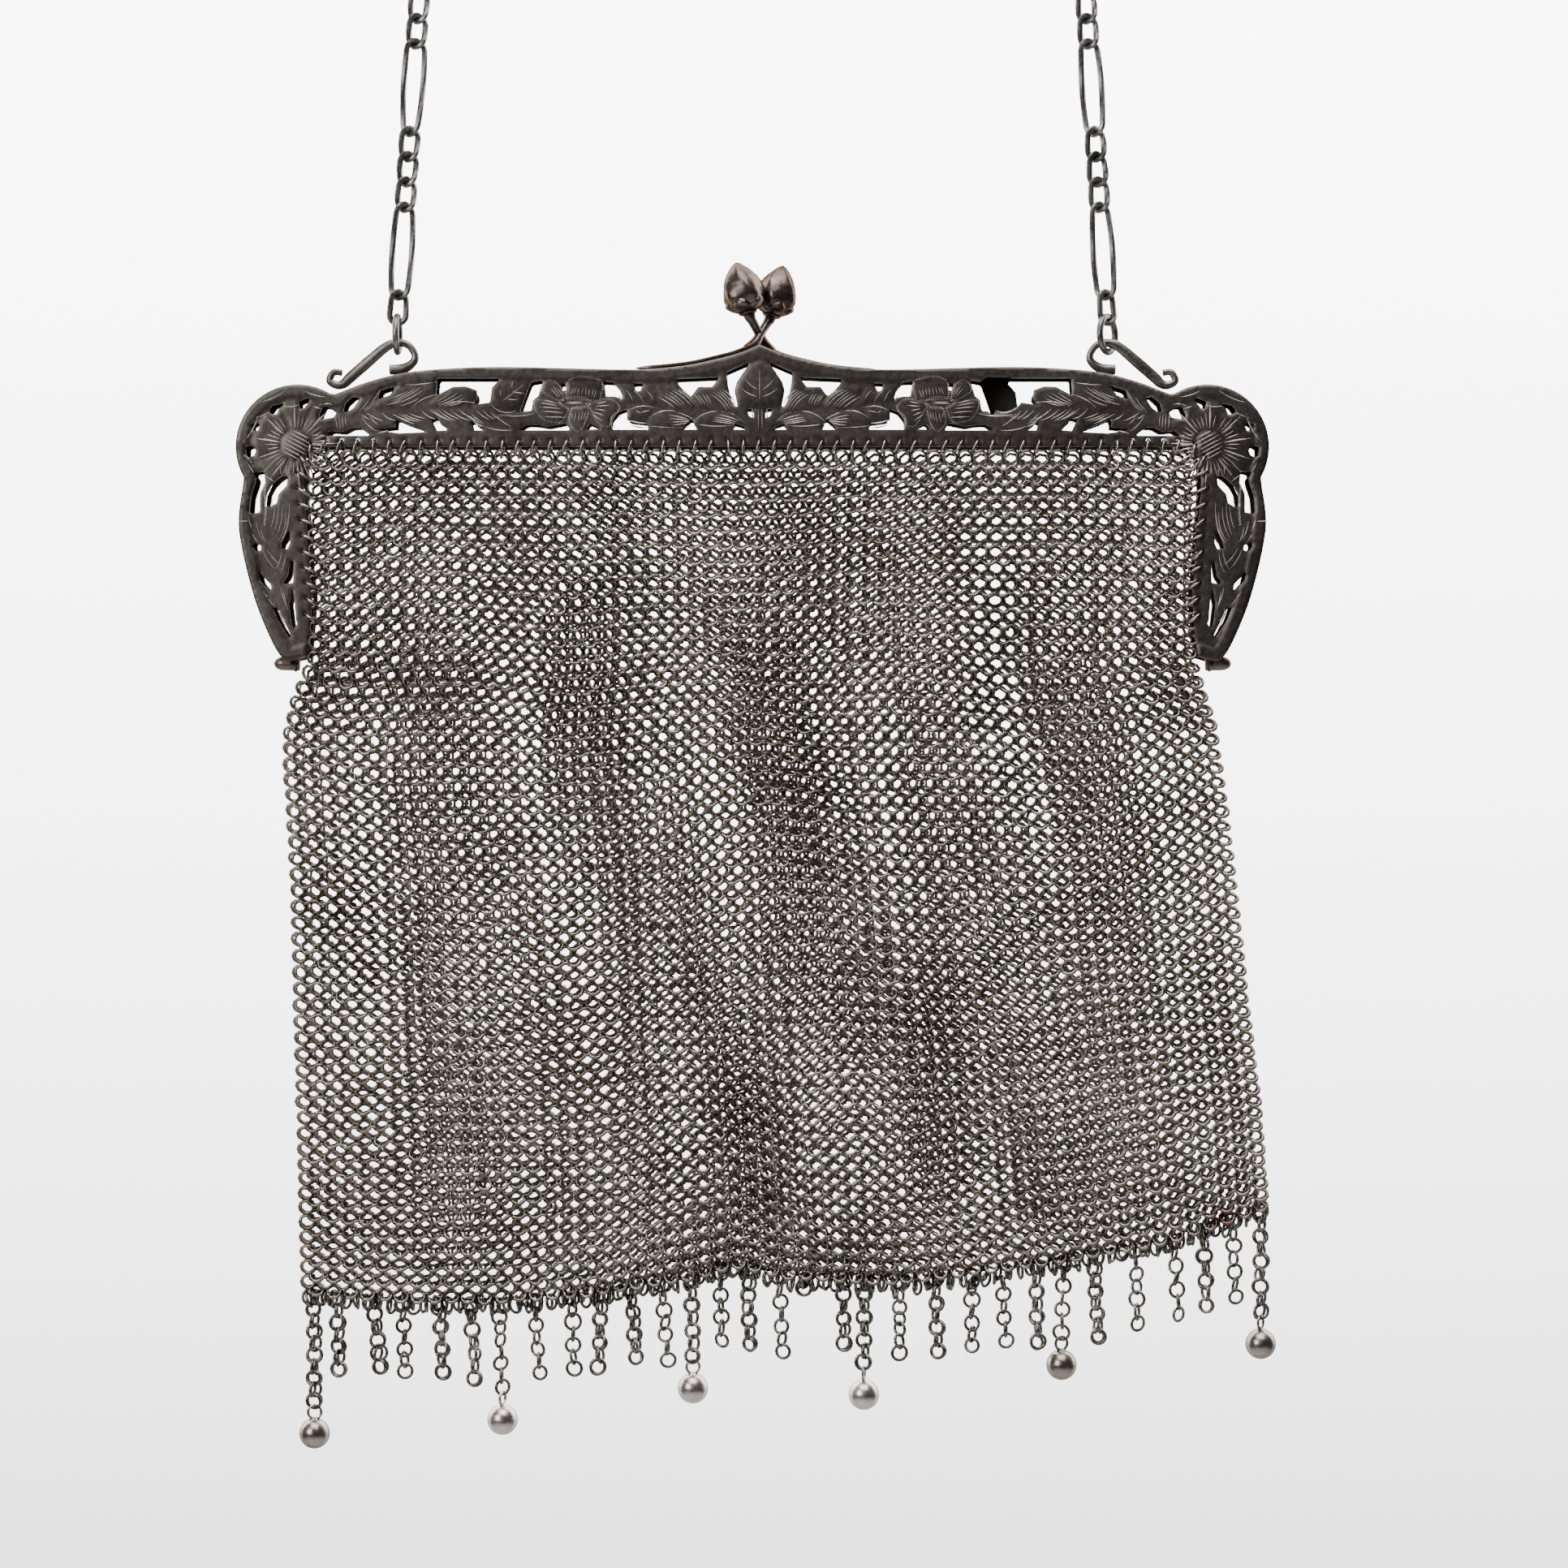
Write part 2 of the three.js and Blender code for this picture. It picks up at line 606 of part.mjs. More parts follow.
// A point of the bag's wall: across from 0 to 1, one row of the table, side -1 front or 1 back,
// and layer 0 on the outer skin or 1 on the inner one
function bagPoint(across, row, side, layer) {
  const left = -row.left * halfWidth + layer * bagWall;
  const right = row.right * halfWidth - layer * bagWall;
  const edgeward = Math.abs(2 * across - 1) ** 4;
  const middle = row.depth + (row.edge - row.depth) * edgeward;
  const fold = foldHeight * Math.sin(2 * Math.PI * (foldCount * across + 0.35 * row.drop + side / 5));
  const skin = bagHalfDepth * middle + (0.5 - layer) * bagWall;
  const free = Math.min(1, 5 * row.drop) * (1 - edgeward);
  const hem = 1 + (between(hemRows, 'across', 'drop', across) - 1) * row.drop ** 2;
  return new THREE.Vector3(
    left + (right - left) * across,
    side * skin + fold * free,
    -seatGap - bagDrop * row.drop * hem + layer * bagWall * row.drop,
  );
}

// The bag: a hollow of ring mesh with an open mouth, its sides slit down to the hinges
function bagBody() {
  const loop = (row, layer) => {
    const front = Array.from({ length: bagColumns + 1 }, (_, i) => bagPoint(i / bagColumns, row, -1, layer));
    const back = Array.from({ length: bagColumns + 1 }, (_, i) => bagPoint(1 - i / bagColumns, row, 1, layer));
    return [...front, ...back];
  };
  const points = [0, 1].flatMap((layer) => bagRows.flatMap((row) => loop(row, layer)));
  const around = 2 * (bagColumns + 1);
  const levels = bagRows.length;
  const at = (layer, level, j) => (layer * levels + level) * around + (j % around);
  const index = [];
  const quad = (a, b, c, d) => index.push(a, b, c, a, c, d);
  for (let j = 0; j < around; j += 1) {
    for (let k = 0; k < levels - 1; k += 1) {
      quad(at(0, k, j), at(0, k + 1, j), at(0, k + 1, j + 1), at(0, k, j + 1));
      quad(at(1, k, j), at(1, k, j + 1), at(1, k + 1, j + 1), at(1, k + 1, j));
    }
    quad(at(0, 0, j), at(0, 0, j + 1), at(1, 0, j + 1), at(1, 0, j));
  }
  for (let j = 0; j < bagColumns; j += 1) {
    const across = around - 1 - j;
    const end = levels - 1;
    quad(at(0, end, j), at(0, end, across), at(0, end, across - 1), at(0, end, j + 1));
    quad(at(1, end, j), at(1, end, j + 1), at(1, end, across - 1), at(1, end, across));
  }
  const geometry = new THREE.BufferGeometry();
  geometry.setAttribute('position', new THREE.Float32BufferAttribute(points.flatMap((p) => p.toArray()), 3));
  geometry.setIndex(index);
  const slitDepth = 2 * (bagHalfDepth * bagRows[0].edge - bagWall);
  const slitHeight = slitDrop * bagDrop;
  let bag = solid(geometry);
  [-1, 1].forEach((side) => {
    const slit = new THREE.BoxGeometry(4 * bagWall, slitDepth, slitHeight);
    slit.translate(side * bagRows[1].left * halfWidth, 0, -slitHeight / 2 + seatGap);
    bag = bag.subtract(solid(slit));
  });
  return geometryOf(bag);
}

// The hem's line, through the same points as the bag's lower edge
const hemLine = Array.from({ length: bagColumns + 1 }, (_, i) => {
  const point = bagPoint(i / bagColumns, bagRows[bagRows.length - 1], -1, 0);
  return { across: i / bagColumns, x: point.x, z: point.z - seatGap };
});
const hemPoint = (across) =>
  new THREE.Vector2(between(hemLine, 'across', 'x', across), between(hemLine, 'across', 'z', across));
const strandAcross = (i) => (i + 0.25) / (strandCount - 0.5);
const eyeRadius = (eyeDiameter - eyeWire) / 2;

// The lower end of a strand
function strandEnd(i) {
  const sway = 1 + strandSway * Math.sin(2.1 * i);
  const end = hemPoint(strandAcross(i));
  end.y -= holdsBall(i) ? ballStrandLength : strandLength * sway;
  return end;
}

// The fringe: a heading along the hem with one strip for each strand, and a ring under each
// strand that carries a ball
function fringeBody() {
  const top = hemLine.map((p) => new THREE.Vector2(p.x, p.z));
  const first = top[0];
  const last = top[top.length - 1];
  const under = [new THREE.Vector2(last.x, last.y - headerHeight)];
  for (let i = strandCount - 1; i >= 0; i -= 1) {
    const foot = hemPoint(strandAcross(i));
    const end = strandEnd(i);
    const half = stripThickness / 2;
    under.push(new THREE.Vector2(foot.x + half, foot.y - headerHeight));
    under.push(new THREE.Vector2(foot.x + half, end.y));
    under.push(new THREE.Vector2(foot.x - half, end.y));
    under.push(new THREE.Vector2(foot.x - half, foot.y - headerHeight));
  }
  under.push(new THREE.Vector2(first.x, first.y - headerHeight));
  const comb = slab([...top, ...under], -stripThickness / 2, stripThickness / 2);
  const rings = ballStrands.map((i) => {
    const end = strandEnd(i);
    const ring = ringGeometry(eyeDiameter, eyeWire, Math.PI / 2);
    ring.translate(end.x, 0, end.y - eyeRadius);
    return ring;
  });
  return geometryOf(joined([comb, ...rings]));
}

// A ball of the fringe with the eye soldered to its top, hung in its strand's ring
function fringeBall(i) {
  const end = strandEnd(i);
  const eyeCentre = end.y - 3 * eyeRadius + eyeWire + linkGap;
  const eye = ringGeometry(eyeDiameter, eyeWire, 0);
  eye.translate(end.x, 0, eyeCentre);
  const ball = new THREE.SphereGeometry(ballDiameter / 2, 10, 6);
  ball.rotateX(Math.PI / 2);
  ball.translate(end.x, 0, eyeCentre - eyeRadius - ballDiameter / 2 + eyeWire / 2);
  return geometryOf(joined([ball, eye]));
}

const leftHook = hook();
const plan = chainPlan(-leftHook.crest.x);
const jumpRadius = (jumpRingDiameter - jumpRingWire) / 2;
const jumpTop = plan.startHeight + linkBite / 2 + linkGap + jumpRingWire / 2;
const crestHeight = jumpTop - 2 * jumpRadius + (jumpRingWire + hookWire) / 2 + linkGap;

const purse = new THREE.Group();
const body = new THREE.Group();
body.position.set(0, flangeMiddle, crestHeight - leftHook.crest.z);
purse.add(body);

const turned = (mesh) => {
  mesh.rotation.z = Math.PI;
  return mesh;
};
body.add(piece('frame_front', frameHalf(true), frameMetal));
body.add(turned(piece('frame_back', frameHalf(false), frameMetal)));
body.add(piece('clasp_front', claspHalf(), frameMetal));
body.add(turned(piece('clasp_back', claspHalf(), frameMetal)));
body.add(piece('hinge_left', hinge(), frameMetal));
body.add(turned(piece('hinge_right', hinge(), frameMetal)));
body.add(piece('mesh_bag', bagBody(), meshMetal));
body.add(piece('fringe', fringeBody(), meshMetal));
ballStrands.forEach((strand, i) => body.add(piece(`fringe_ball_${i + 1}`, fringeBall(strand), ballMetal)));

const hookLeft = piece('chain_hook_left', leftHook.geometry, frameMetal);
const hookRight = turned(piece('chain_hook_right', leftHook.geometry.clone(), frameMetal));
hookLeft.position.set(0, 0, body.position.z);
hookRight.position.copy(hookLeft.position);
purse.add(hookLeft, hookRight);

const jumpPlaces = [
  { name: 'jump_ring_left', side: -1, turn: 0 },
  { name: 'jump_ring_right', side: 1, turn: rightRingTurn },
];
jumpPlaces.forEach(({ name, side, turn }) => {
  const turnBy = THREE.MathUtils.degToRad(turn);
  const ring = piece(name, ringGeometry(jumpRingDiameter, jumpRingWire, turnBy), chainMetal);
  ring.position.set(-side * leftHook.crest.x, 0, jumpTop - jumpRadius);
  purse.add(ring);
});
purse.add(piece('chain', chainBody(plan), chainMetal));

export default purse;
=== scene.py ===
import math
import bpy
import mathutils
import numpy as np
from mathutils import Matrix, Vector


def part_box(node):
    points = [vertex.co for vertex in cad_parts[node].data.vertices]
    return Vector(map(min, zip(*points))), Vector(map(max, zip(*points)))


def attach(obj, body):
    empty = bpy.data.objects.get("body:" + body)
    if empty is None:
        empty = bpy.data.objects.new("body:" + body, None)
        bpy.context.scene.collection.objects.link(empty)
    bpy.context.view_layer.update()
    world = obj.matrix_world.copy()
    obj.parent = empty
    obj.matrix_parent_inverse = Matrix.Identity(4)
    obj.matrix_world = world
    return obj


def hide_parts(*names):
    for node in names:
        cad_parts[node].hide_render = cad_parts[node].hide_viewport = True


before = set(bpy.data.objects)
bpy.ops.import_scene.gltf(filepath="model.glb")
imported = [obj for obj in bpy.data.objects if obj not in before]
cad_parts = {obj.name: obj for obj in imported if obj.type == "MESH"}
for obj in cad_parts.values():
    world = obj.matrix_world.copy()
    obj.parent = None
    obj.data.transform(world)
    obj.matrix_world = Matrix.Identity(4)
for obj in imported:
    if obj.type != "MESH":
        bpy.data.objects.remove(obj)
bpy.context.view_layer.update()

# The view. The purse was photographed hanging, square on, from a little over half a metre, so
# the back half of the frame shows through the piercings, nearer the middle than the front half.
# All sizes below are in millimetres, from the middle of the bar's lower edge.
MM = 0.001
VIEW_DISTANCE = 620
PHOTO_WIDTH = 1932
MM_PER_PIXEL = 0.1344
FRAME_MIDDLE_PIXEL = 927
BAR_EDGE_PIXEL = 550
ARM_LENGTH = 35.5
FRAME_DEPTH = 8

front_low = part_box("frame_front")[0]
back_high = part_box("frame_back")[1]
ORIGIN = np.array([0, (front_low.y + back_high.y) / 2, front_low.z + ARM_LENGTH * MM])

camera_data = bpy.data.cameras.new("view")
camera_data.sensor_width = 36
camera_data.lens = 36 * VIEW_DISTANCE / (PHOTO_WIDTH * MM_PER_PIXEL)
camera = bpy.data.objects.new("view", camera_data)
bpy.context.scene.collection.objects.link(camera)
camera_x = (PHOTO_WIDTH / 2 - FRAME_MIDDLE_PIXEL) * MM_PER_PIXEL
camera_z = (BAR_EDGE_PIXEL - PHOTO_WIDTH / 2) * MM_PER_PIXEL
camera.location = ORIGIN + MM * np.array([camera_x, -FRAME_DEPTH / 2 - VIEW_DISTANCE, camera_z])
camera.rotation_euler = (math.pi / 2, 0, 0)
bpy.context.scene.camera = camera


# The frame halves. Each is a plate of silver cut to outline, its top bar sawn through to leaves
# and flowers that are chased a little proud, with a flange soldered round its outer edge.
# A row of holes along the band and down the arms takes the wire that carries the mesh.
PLATE = 0.8
RIM = 2.15
HALF_GAP = 0.2
HOLE_PITCH = 2.62
HOLE_RADIUS = 0.4
HOLE_INSET = 1.0

TOP_EDGE = np.array([
    (0, 16.9), (3.4, 15.5), (7.5, 14.4), (12.75, 13.35), (20.4, 12.76),
    (32.3, 12.98), (44.2, 13.17), (55.8, 12.5), (62.9, 10.99), (69.1, 8.7),
])
LOBE_MIDDLE = (75.3, 0.0)
LOBE_RADIUS = 10.3
ARM_EDGE = np.array([
    (84.4, -6.6), (85, -10.65), (85, -14.2), (83.9, -19.9), (82.1, -26.3), (79.6, -32.3),
    (77.9, -35.0), (76.5, -35.5), (73.8, -34.8),
])
OPENING_EDGE = np.array([(73.3, -30.2), (72.9, -24.6), (73.4, -20.2), (73.8, -13.4), (74.4, -7.5)])
CORNER = 3.4
CORNER_X = 74.3

# Outlines in the left half, as if the peak stood over the middle: first the gaps that are sawn
# out, then the forms that stand proud of the ground
GAPS = [
    [(-70.6, 1.9), (-70, 2.5), (-68, 2.3), (-66.5, 3.1), (-65.3, 3.1), (-63.7, 1.9)],
    [(-62, 2.8), (-60.3, 3), (-59.2, 3.1), (-59.2, 4.4), (-57.9, 3.8), (-55.9, 3.1), (-54.5, 2.5),
     (-58.8, 2.3)],
    [(-53.5, 4.6), (-52.6, 4.6), (-52, 3.5), (-51, 2.8), (-52.6, 2.7)],
    [(-47, 4.1), (-46.2, 3.5), (-45.2, 2.8), (-46.6, 2.8)],
    [(-62.1, 7.9), (-61.7, 9.2), (-59.2, 10), (-60.3, 8.6)],
    [(-67.7, 5.9), (-67.4, 7.1), (-66.2, 8.2), (-65.2, 8), (-66.2, 6.5), (-67.2, 5.8)],
    [(-52.6, 8.6), (-52.4, 11.2), (-42.5, 11.2), (-43.8, 9.8), (-44.1, 7.4), (-46.8, 7), (-45.9, 8),
     (-46, 9.4), (-47.9, 10.1), (-50, 10)],
    [(-39, 5.9), (-38.2, 8.2), (-37.3, 10.6), (-35.5, 10.9), (-35.9, 9.6), (-36.3, 8.4), (-37.1, 7.8),
     (-37.2, 7.3), (-37.4, 6)],
    [(-39.2, 2.8), (-38, 3.6), (-36.2, 3.5), (-34.7, 3.2), (-31.9, 3.8), (-31.2, 2.8)],
    [(-28.4, 2.9), (-27.8, 3.7), (-26.3, 3)],
    [(-32.4, 10.4), (-31.7, 10.2), (-31.8, 9.3), (-32.1, 9.4)],
    [(-25.5, 10.7), (-24.1, 10.6), (-23.1, 9.4), (-22.6, 8), (-23.7, 8.4), (-25.1, 8.4), (-25.3, 9.4)],
    [(-20.5, 10.4), (-19.2, 10.4), (-19.8, 9.2), (-20.3, 9.4)],
    [(-13.6, 11.1), (-6.8, 11.4), (-7.9, 10), (-10.2, 10), (-11.3, 8.5), (-12.4, 9.4), (-13.2, 10.3)],
    [(-5.3, 12.3), (-1.8, 13.8), (-2.7, 12.5), (-3.9, 10.7), (-4.3, 9.2), (-3.9, 7.3), (-3.8, 6.5),
     (-4.2, 6.9), (-4.7, 8.4), (-5.1, 10.2)],
    [(-24.2, 2.9), (-24.1, 4.4), (-23.1, 5.7), (-21.9, 6.1), (-21.9, 4.2), (-18.7, 3.8), (-18.4, 2.9)],
    [(-12.7, 2.9), (-12.1, 3.7), (-11.2, 4.4), (-10.9, 3.5), (-10.4, 2.9)],
    [(-4.3, 2.9), (-4, 3.7), (-2.7, 3.3), (-2.4, 2.9)],
    [(-1.9, 6.2), (-1.1, 6.1), (-1.1, 4.8), (-1.7, 5.2)],
    [(-80.1, 5.8), (-79.5, 6.7), (-77.8, 7.1), (-77.8, 6.8), (-78.5, 6.4), (-78.9, 5.4), (-79.6, 5.5)],
    [(-75.1, 7.4), (-73.6, 8), (-73.4, 7.6), (-74.4, 6.4), (-74.9, 6.3)],
    [(-71.1, 6.6), (-70.5, 6.5), (-69.1, 5.5), (-69.5, 4.9), (-71.6, 4.6), (-71.7, 5.2)],
    [(-83, 3.6), (-82.3, 3.9), (-81.7, 3.5), (-82, 2.7), (-82.8, 2.8)],
    [(-83.8, -0.1), (-83.2, 0.1), (-82.3, -0.6), (-82.6, -1.4), (-83.5, -1.7), (-83.8, -1)],
    [(-82.6, -4.4), (-81, -4.2), (-80.8, -6), (-81.6, -7.6), (-81.7, -8.5), (-81.7, -10.8),
     (-83, -11), (-83.2, -10.8), (-83, -8.2), (-82.3, -6.2), (-82.1, -5.1)],
    [(-78.6, -5.5), (-77.7, -4.9), (-77.1, -5), (-77.2, -6.3), (-77.7, -6.9), (-78.6, -7.8),
     (-78.9, -9.3), (-79.9, -9.9), (-80.6, -9.8), (-80.3, -7.8), (-79.6, -6.5)],
    [(-82.7, -16), (-81.5, -16.5), (-81.5, -17.1), (-82.2, -17.3), (-82.7, -16.5)],
    [(-77, -14), (-76.7, -14.2), (-76.7, -16), (-77.1, -16.9), (-78.1, -16.8), (-77.9, -16)],
    [(-76.5, -18.9), (-76.1, -19.1), (-76.2, -22.5), (-77.7, -22.7), (-77.5, -22.3), (-76.9, -21.5)],
    [(-81.7, -20.8), (-81.1, -21.7), (-79.9, -22.9), (-79.8, -23.6), (-80.5, -23.2), (-81.4, -22.2)],
    [(-76.2, -23.7), (-75.9, -26.2), (-75.7, -28.9), (-75.5, -29.3), (-76, -30.1), (-76.3, -29.3),
     (-76.5, -27.5), (-76.7, -26)],
    [(-79.3, -26.7), (-78.8, -26.8), (-76.6, -31.2), (-76.7, -31.7), (-77.6, -30.2), (-78.6, -28.6)],
]
PETALS = [
    [(-31.7, 7.6), (-32, 8.9), (-31.7, 10.7), (-30.7, 11.5), (-29.2, 11.8), (-27.1, 11.5),
     (-25.9, 11.1), (-25.4, 10), (-25.7, 8.7), (-26.6, 7.4)],
    [(-31.9, 7.4), (-33.2, 7.4), (-35.4, 8.7), (-35.9, 9.6), (-35.4, 10.6), (-34.4, 11.2),
     (-33.1, 10.8), (-32, 9.2)],
    [(-32.4, 7.4), (-34.2, 7.6), (-36.4, 8), (-37.1, 7.3), (-36.8, 5.8), (-35.7, 4.4), (-34.2, 3.8),
     (-32.4, 3.8), (-31.4, 5.1), (-31.1, 6.4)],
    [(-30.9, 6.6), (-31.4, 5.1), (-31.4, 3.8), (-30.8, 2.9), (-29.9, 2.2), (-28.8, 2.9), (-28.2, 4.3),
     (-27.8, 5.8), (-28.4, 6.9)],
    [(-28.7, 7.1), (-27.1, 7.6), (-25.2, 8.1), (-23.8, 7.8), (-22.7, 6.6), (-23.1, 5.6), (-24, 4.8),
     (-24.3, 3.3), (-25.7, 3), (-26.7, 3.8), (-27.8, 5.8)],
]
LEAVES = [
    [(-66.4, 5.8), (-65.9, 7.4), (-65, 8.6), (-63.5, 9.4), (-61.7, 9.4), (-62, 8.3), (-63.4, 6.8),
     (-64.7, 5.5)],
    [(-62.9, 6.4), (-61.7, 8.6), (-59.3, 10), (-57.9, 10.9), (-55.5, 11.2), (-52.5, 11.2),
     (-52.4, 9.2), (-54, 7.9), (-55.8, 7), (-57.9, 6.1)],
    [(-54.1, 6.8), (-52.6, 8.6), (-51.2, 9.4), (-50, 10), (-47.9, 10.1), (-46.1, 9.3), (-46.1, 7.9),
     (-47.1, 7), (-50.6, 6.4)],
]
SPRAY = [
    [(-10.7, 6.5), (-10.9, 7.6), (-11.3, 8.6), (-10.4, 9.8), (-7.9, 10), (-6.6, 11.4), (-5.4, 11.8),
     (-5.2, 10), (-4.5, 8.2), (-3.9, 6.6), (-2.7, 4), (-4.3, 5.1)],
    [(-10.9, 6.4), (-14, 6.2), (-16.8, 7.9), (-17, 10.1), (-13.7, 10.3), (-12.7, 9.4), (-11.4, 8.5),
     (-10.4, 6.9)],
    [(-19.1, 7.1), (-21.1, 7.3), (-22.9, 7.4), (-23.9, 10.2), (-21.9, 10.5), (-19.6, 9.4),
     (-18.2, 10.2), (-17.3, 9.4), (-16.5, 7.6), (-15.5, 6.4)],
    [(-21.9, 5.8), (-20.6, 6.7), (-19.1, 7), (-17.3, 6.4), (-18.3, 4.6), (-20.1, 4.3), (-21.7, 4.4)],
    [(-18.4, 3.4), (-18.2, 4.6), (-17.3, 5.7), (-15.5, 6.2), (-13.2, 5.8), (-11.1, 4.4), (-12.5, 3.1),
     (-16.5, 3)],
    [(-10.9, 4), (-10.2, 5.2), (-7.9, 5.7), (-5.6, 5.7), (-3.8, 5.1), (-2.7, 3.9), (-4.3, 3.5),
     (-8.9, 3.2), (-10.7, 3.4)],
]
HEART = [
    [(-42.5, 6.5), (-43.8, 7.5), (-44.1, 9.4), (-43, 11), (-39.5, 11.2), (-38.3, 10.1), (-37.7, 8.3),
     (-38.9, 6.8), (-40.6, 5.9)],
]
MIDDLE_LEAF = [
    (0, 14.4), (-1.8, 13.6), (-2.9, 12.3), (-3.9, 10.7), (-4.2, 9.2), (-3.9, 7.5), (-3.0, 6.8), (-1.5, 6.5),
    (0, 6.4), (1.5, 6.5), (3.0, 6.8), (3.9, 7.5), (4.2, 9.2), (3.9, 10.7), (2.9, 12.3), (1.8, 13.6),
]
# The heart-shaped leaf that has broken off the right side of the front half
LOST_LEAF = [
    (37.9, 6.4), (39, 5.4), (40.8, 5.6), (43.6, 6.9), (44.4, 8.5), (43.4, 11.2), (38.2, 11.4), (36.9, 10.4),
]
DAISY = (-75.6, 0.25)
DAISY_DISC = 2.6
DAISY_REACH = 7.3
PEAK_SHIFT = 1.2


def smooth_line(points, steps):
    """A Catmull-Rom line: each sample weighs its four nearest points by the usual cubic in t."""
    padded = np.vstack([2 * points[0] - points[1], points, 2 * points[-1] - points[-2]])
    t = np.linspace(0, 1, steps, endpoint=False)[:, None]
    spans = [
        b + 0.5 * t * (c - a + t * (2 * a - 5 * b + 4 * c - d + t * (3 * b - a - 3 * c + d)))
        for a, b, c, d in zip(padded, padded[1:], padded[2:], padded[3:])
    ]
    return np.vstack([*spans, points[-1:]])


def arc(middle, radius, start, end, steps):
    """Points at a radius from a middle, from one angle in degrees to another."""
    angle = np.radians(np.linspace(start, end, steps))
    return np.column_stack([middle[0] + radius * np.cos(angle), middle[1] + radius * np.sin(angle)])


def right_of(line, distance):
    """A line moved to its right, each point along its own normal (dz, -dx)."""
    along = np.gradient(line, axis=0)
    along /= np.linalg.norm(along, axis=1, keepdims=True)
    return line + distance * np.column_stack([along[:, 1], -along[:, 0]])


def evenly_along(line, pitch):
    """Places at an even pitch along a line, centred on its middle, and the way it runs there."""
    run = np.concatenate([[0], np.cumsum(np.linalg.norm(np.diff(line, axis=0), axis=1))])
    count = int(run[-1] / pitch)
    at = run[-1] / 2 + (np.arange(count) - (count - 1) / 2) * pitch
    place = np.column_stack([np.interp(at, run, line[:, i]) for i in (0, 1)])
    ahead = np.column_stack([np.interp(at + 0.3, run, line[:, i]) for i in (0, 1)]) - place
    return place, ahead / np.linalg.norm(ahead, axis=1, keepdims=True)


lobe_start = math.degrees(math.atan2(TOP_EDGE[-1, 1], TOP_EDGE[-1, 0] - LOBE_MIDDLE[0]))
outer_half = np.vstack([
    smooth_line(TOP_EDGE, 6),
    arc(LOBE_MIDDLE, LOBE_RADIUS, lobe_start - 4, -30, 22),
    smooth_line(ARM_EDGE, 5),
])
opening_half = np.vstack([OPENING_EDGE, arc((CORNER_X - CORNER, -CORNER), CORNER, 0, 90, 9)])
outer_edge = np.vstack([outer_half[::-1] * (-1, 1), outer_half[1:]])
opening_edge = np.vstack([opening_half, opening_half[::-1] * (-1, 1)])
outline = np.vstack([outer_edge, opening_edge])
holes, hole_ways = evenly_along(right_of(opening_edge, HOLE_INSET), HOLE_PITCH)


def shifted(points):
    """The peak was bent a little to the right, and all beside it with it, less and less towards
    the lobes: x grows by shift (1 - (x / 75)^2)^2."""
    moved = points.copy()
    moved[:, 0] += PEAK_SHIFT * np.clip(1 - (points[:, 0] / 75) ** 2, 0, 1) ** 2
    return moved


def polygon_field(x, z, points):
    """How far a place lies from a closed outline, negative inside: the least distance to a side,
    with its sign from how many sides a line to the right crosses."""
    far = np.full(x.shape, 1e9)
    inside = np.zeros(x.shape, bool)
    for (ax, az), (bx, bz) in zip(points, np.roll(points, -1, axis=0)):
        dx, dz = bx - ax, bz - az
        share = np.clip(((x - ax) * dx + (z - az) * dz) / (dx * dx + dz * dz + 1e-12), 0, 1)
        far = np.minimum(far, np.hypot(x - ax - share * dx, z - az - share * dz))
        crosses = (az > z) != (bz > z)
        inside ^= crosses & (x < ax + (z - az) * dx / (dz or 1e-12))
    return np.where(inside, -far, far)


def mirrored(outlines):
    """Outlines of the left half, and the same on the right."""
    return [*map(np.array, outlines), *(np.array(points) * (-1, 1) for points in outlines)]


def metal_field(x, z, gaps, grown):
    """Negative in the metal: the outline less its gaps, grown a little, and the stitch holes."""
    metal = polygon_field(x, z, outline)
    for gap in gaps:
        metal = np.maximum(metal, grown - polygon_field(x, z, gap))
    to_hole = np.full(x.shape, 1e9)
    for hole_x, hole_z in holes:
        to_hole = np.minimum(to_hole, np.hypot(x - hole_x, z - hole_z))
    return np.maximum(metal, HOLE_RADIUS - to_hole)


proud = [(form, 0.1) for form in mirrored([*PETALS, *SPRAY, *LEAVES, *HEART])]
proud.append((np.array(MIDDLE_LEAF), 0.2))


def relief(x, z):
    """How far the face stands out: a flat rim along the outer edge, stepped down to the ground,
    leaves and petals that rise as sqrt(distance from their edge), and the domed daisies."""
    to_edge = -polygon_field(x, z, outer_edge)
    channel = 0.09 * np.clip(1 - np.abs(to_edge - RIM - 0.2) / 0.3, 0, 1)
    height = 0.16 * np.clip((RIM - to_edge) / 0.3, 0, 1) - channel
    for form, rise in proud:
        cushion = np.sqrt(np.clip(-polygon_field(x, z, form) / 1.2, 0, 1))
        edge = np.clip(1 - np.abs(polygon_field(x, z, form)) / 0.25, 0, 1)
        height = np.maximum(height, rise * cushion) - 0.04 * edge * (to_edge > RIM)
    for side in (-1, 1):
        reach = np.hypot(x - side * DAISY[0], z - DAISY[1])
        turn = np.arctan2(z - DAISY[1], side * (x - side * DAISY[0]))
        petals = 0.13 * np.abs(np.cos(4 * turn)) ** 0.4 * np.clip((DAISY_REACH - reach) / 0.8, 0, 1)
        disc = 0.4 * np.sqrt(np.clip(1 - (reach / DAISY_DISC) ** 2, 0, 1)) - 0.06
        height = np.maximum(height, np.where(reach < DAISY_DISC, disc, petals))
    return height


def cell_corners(columns, rows):
    """The four corner numbers of each cell of a grid, rows fastest."""
    first = (np.arange(columns - 1)[:, None] * rows + np.arange(rows - 1)).ravel()
    return np.column_stack([first, first + rows, first + rows + 1, first + 1])


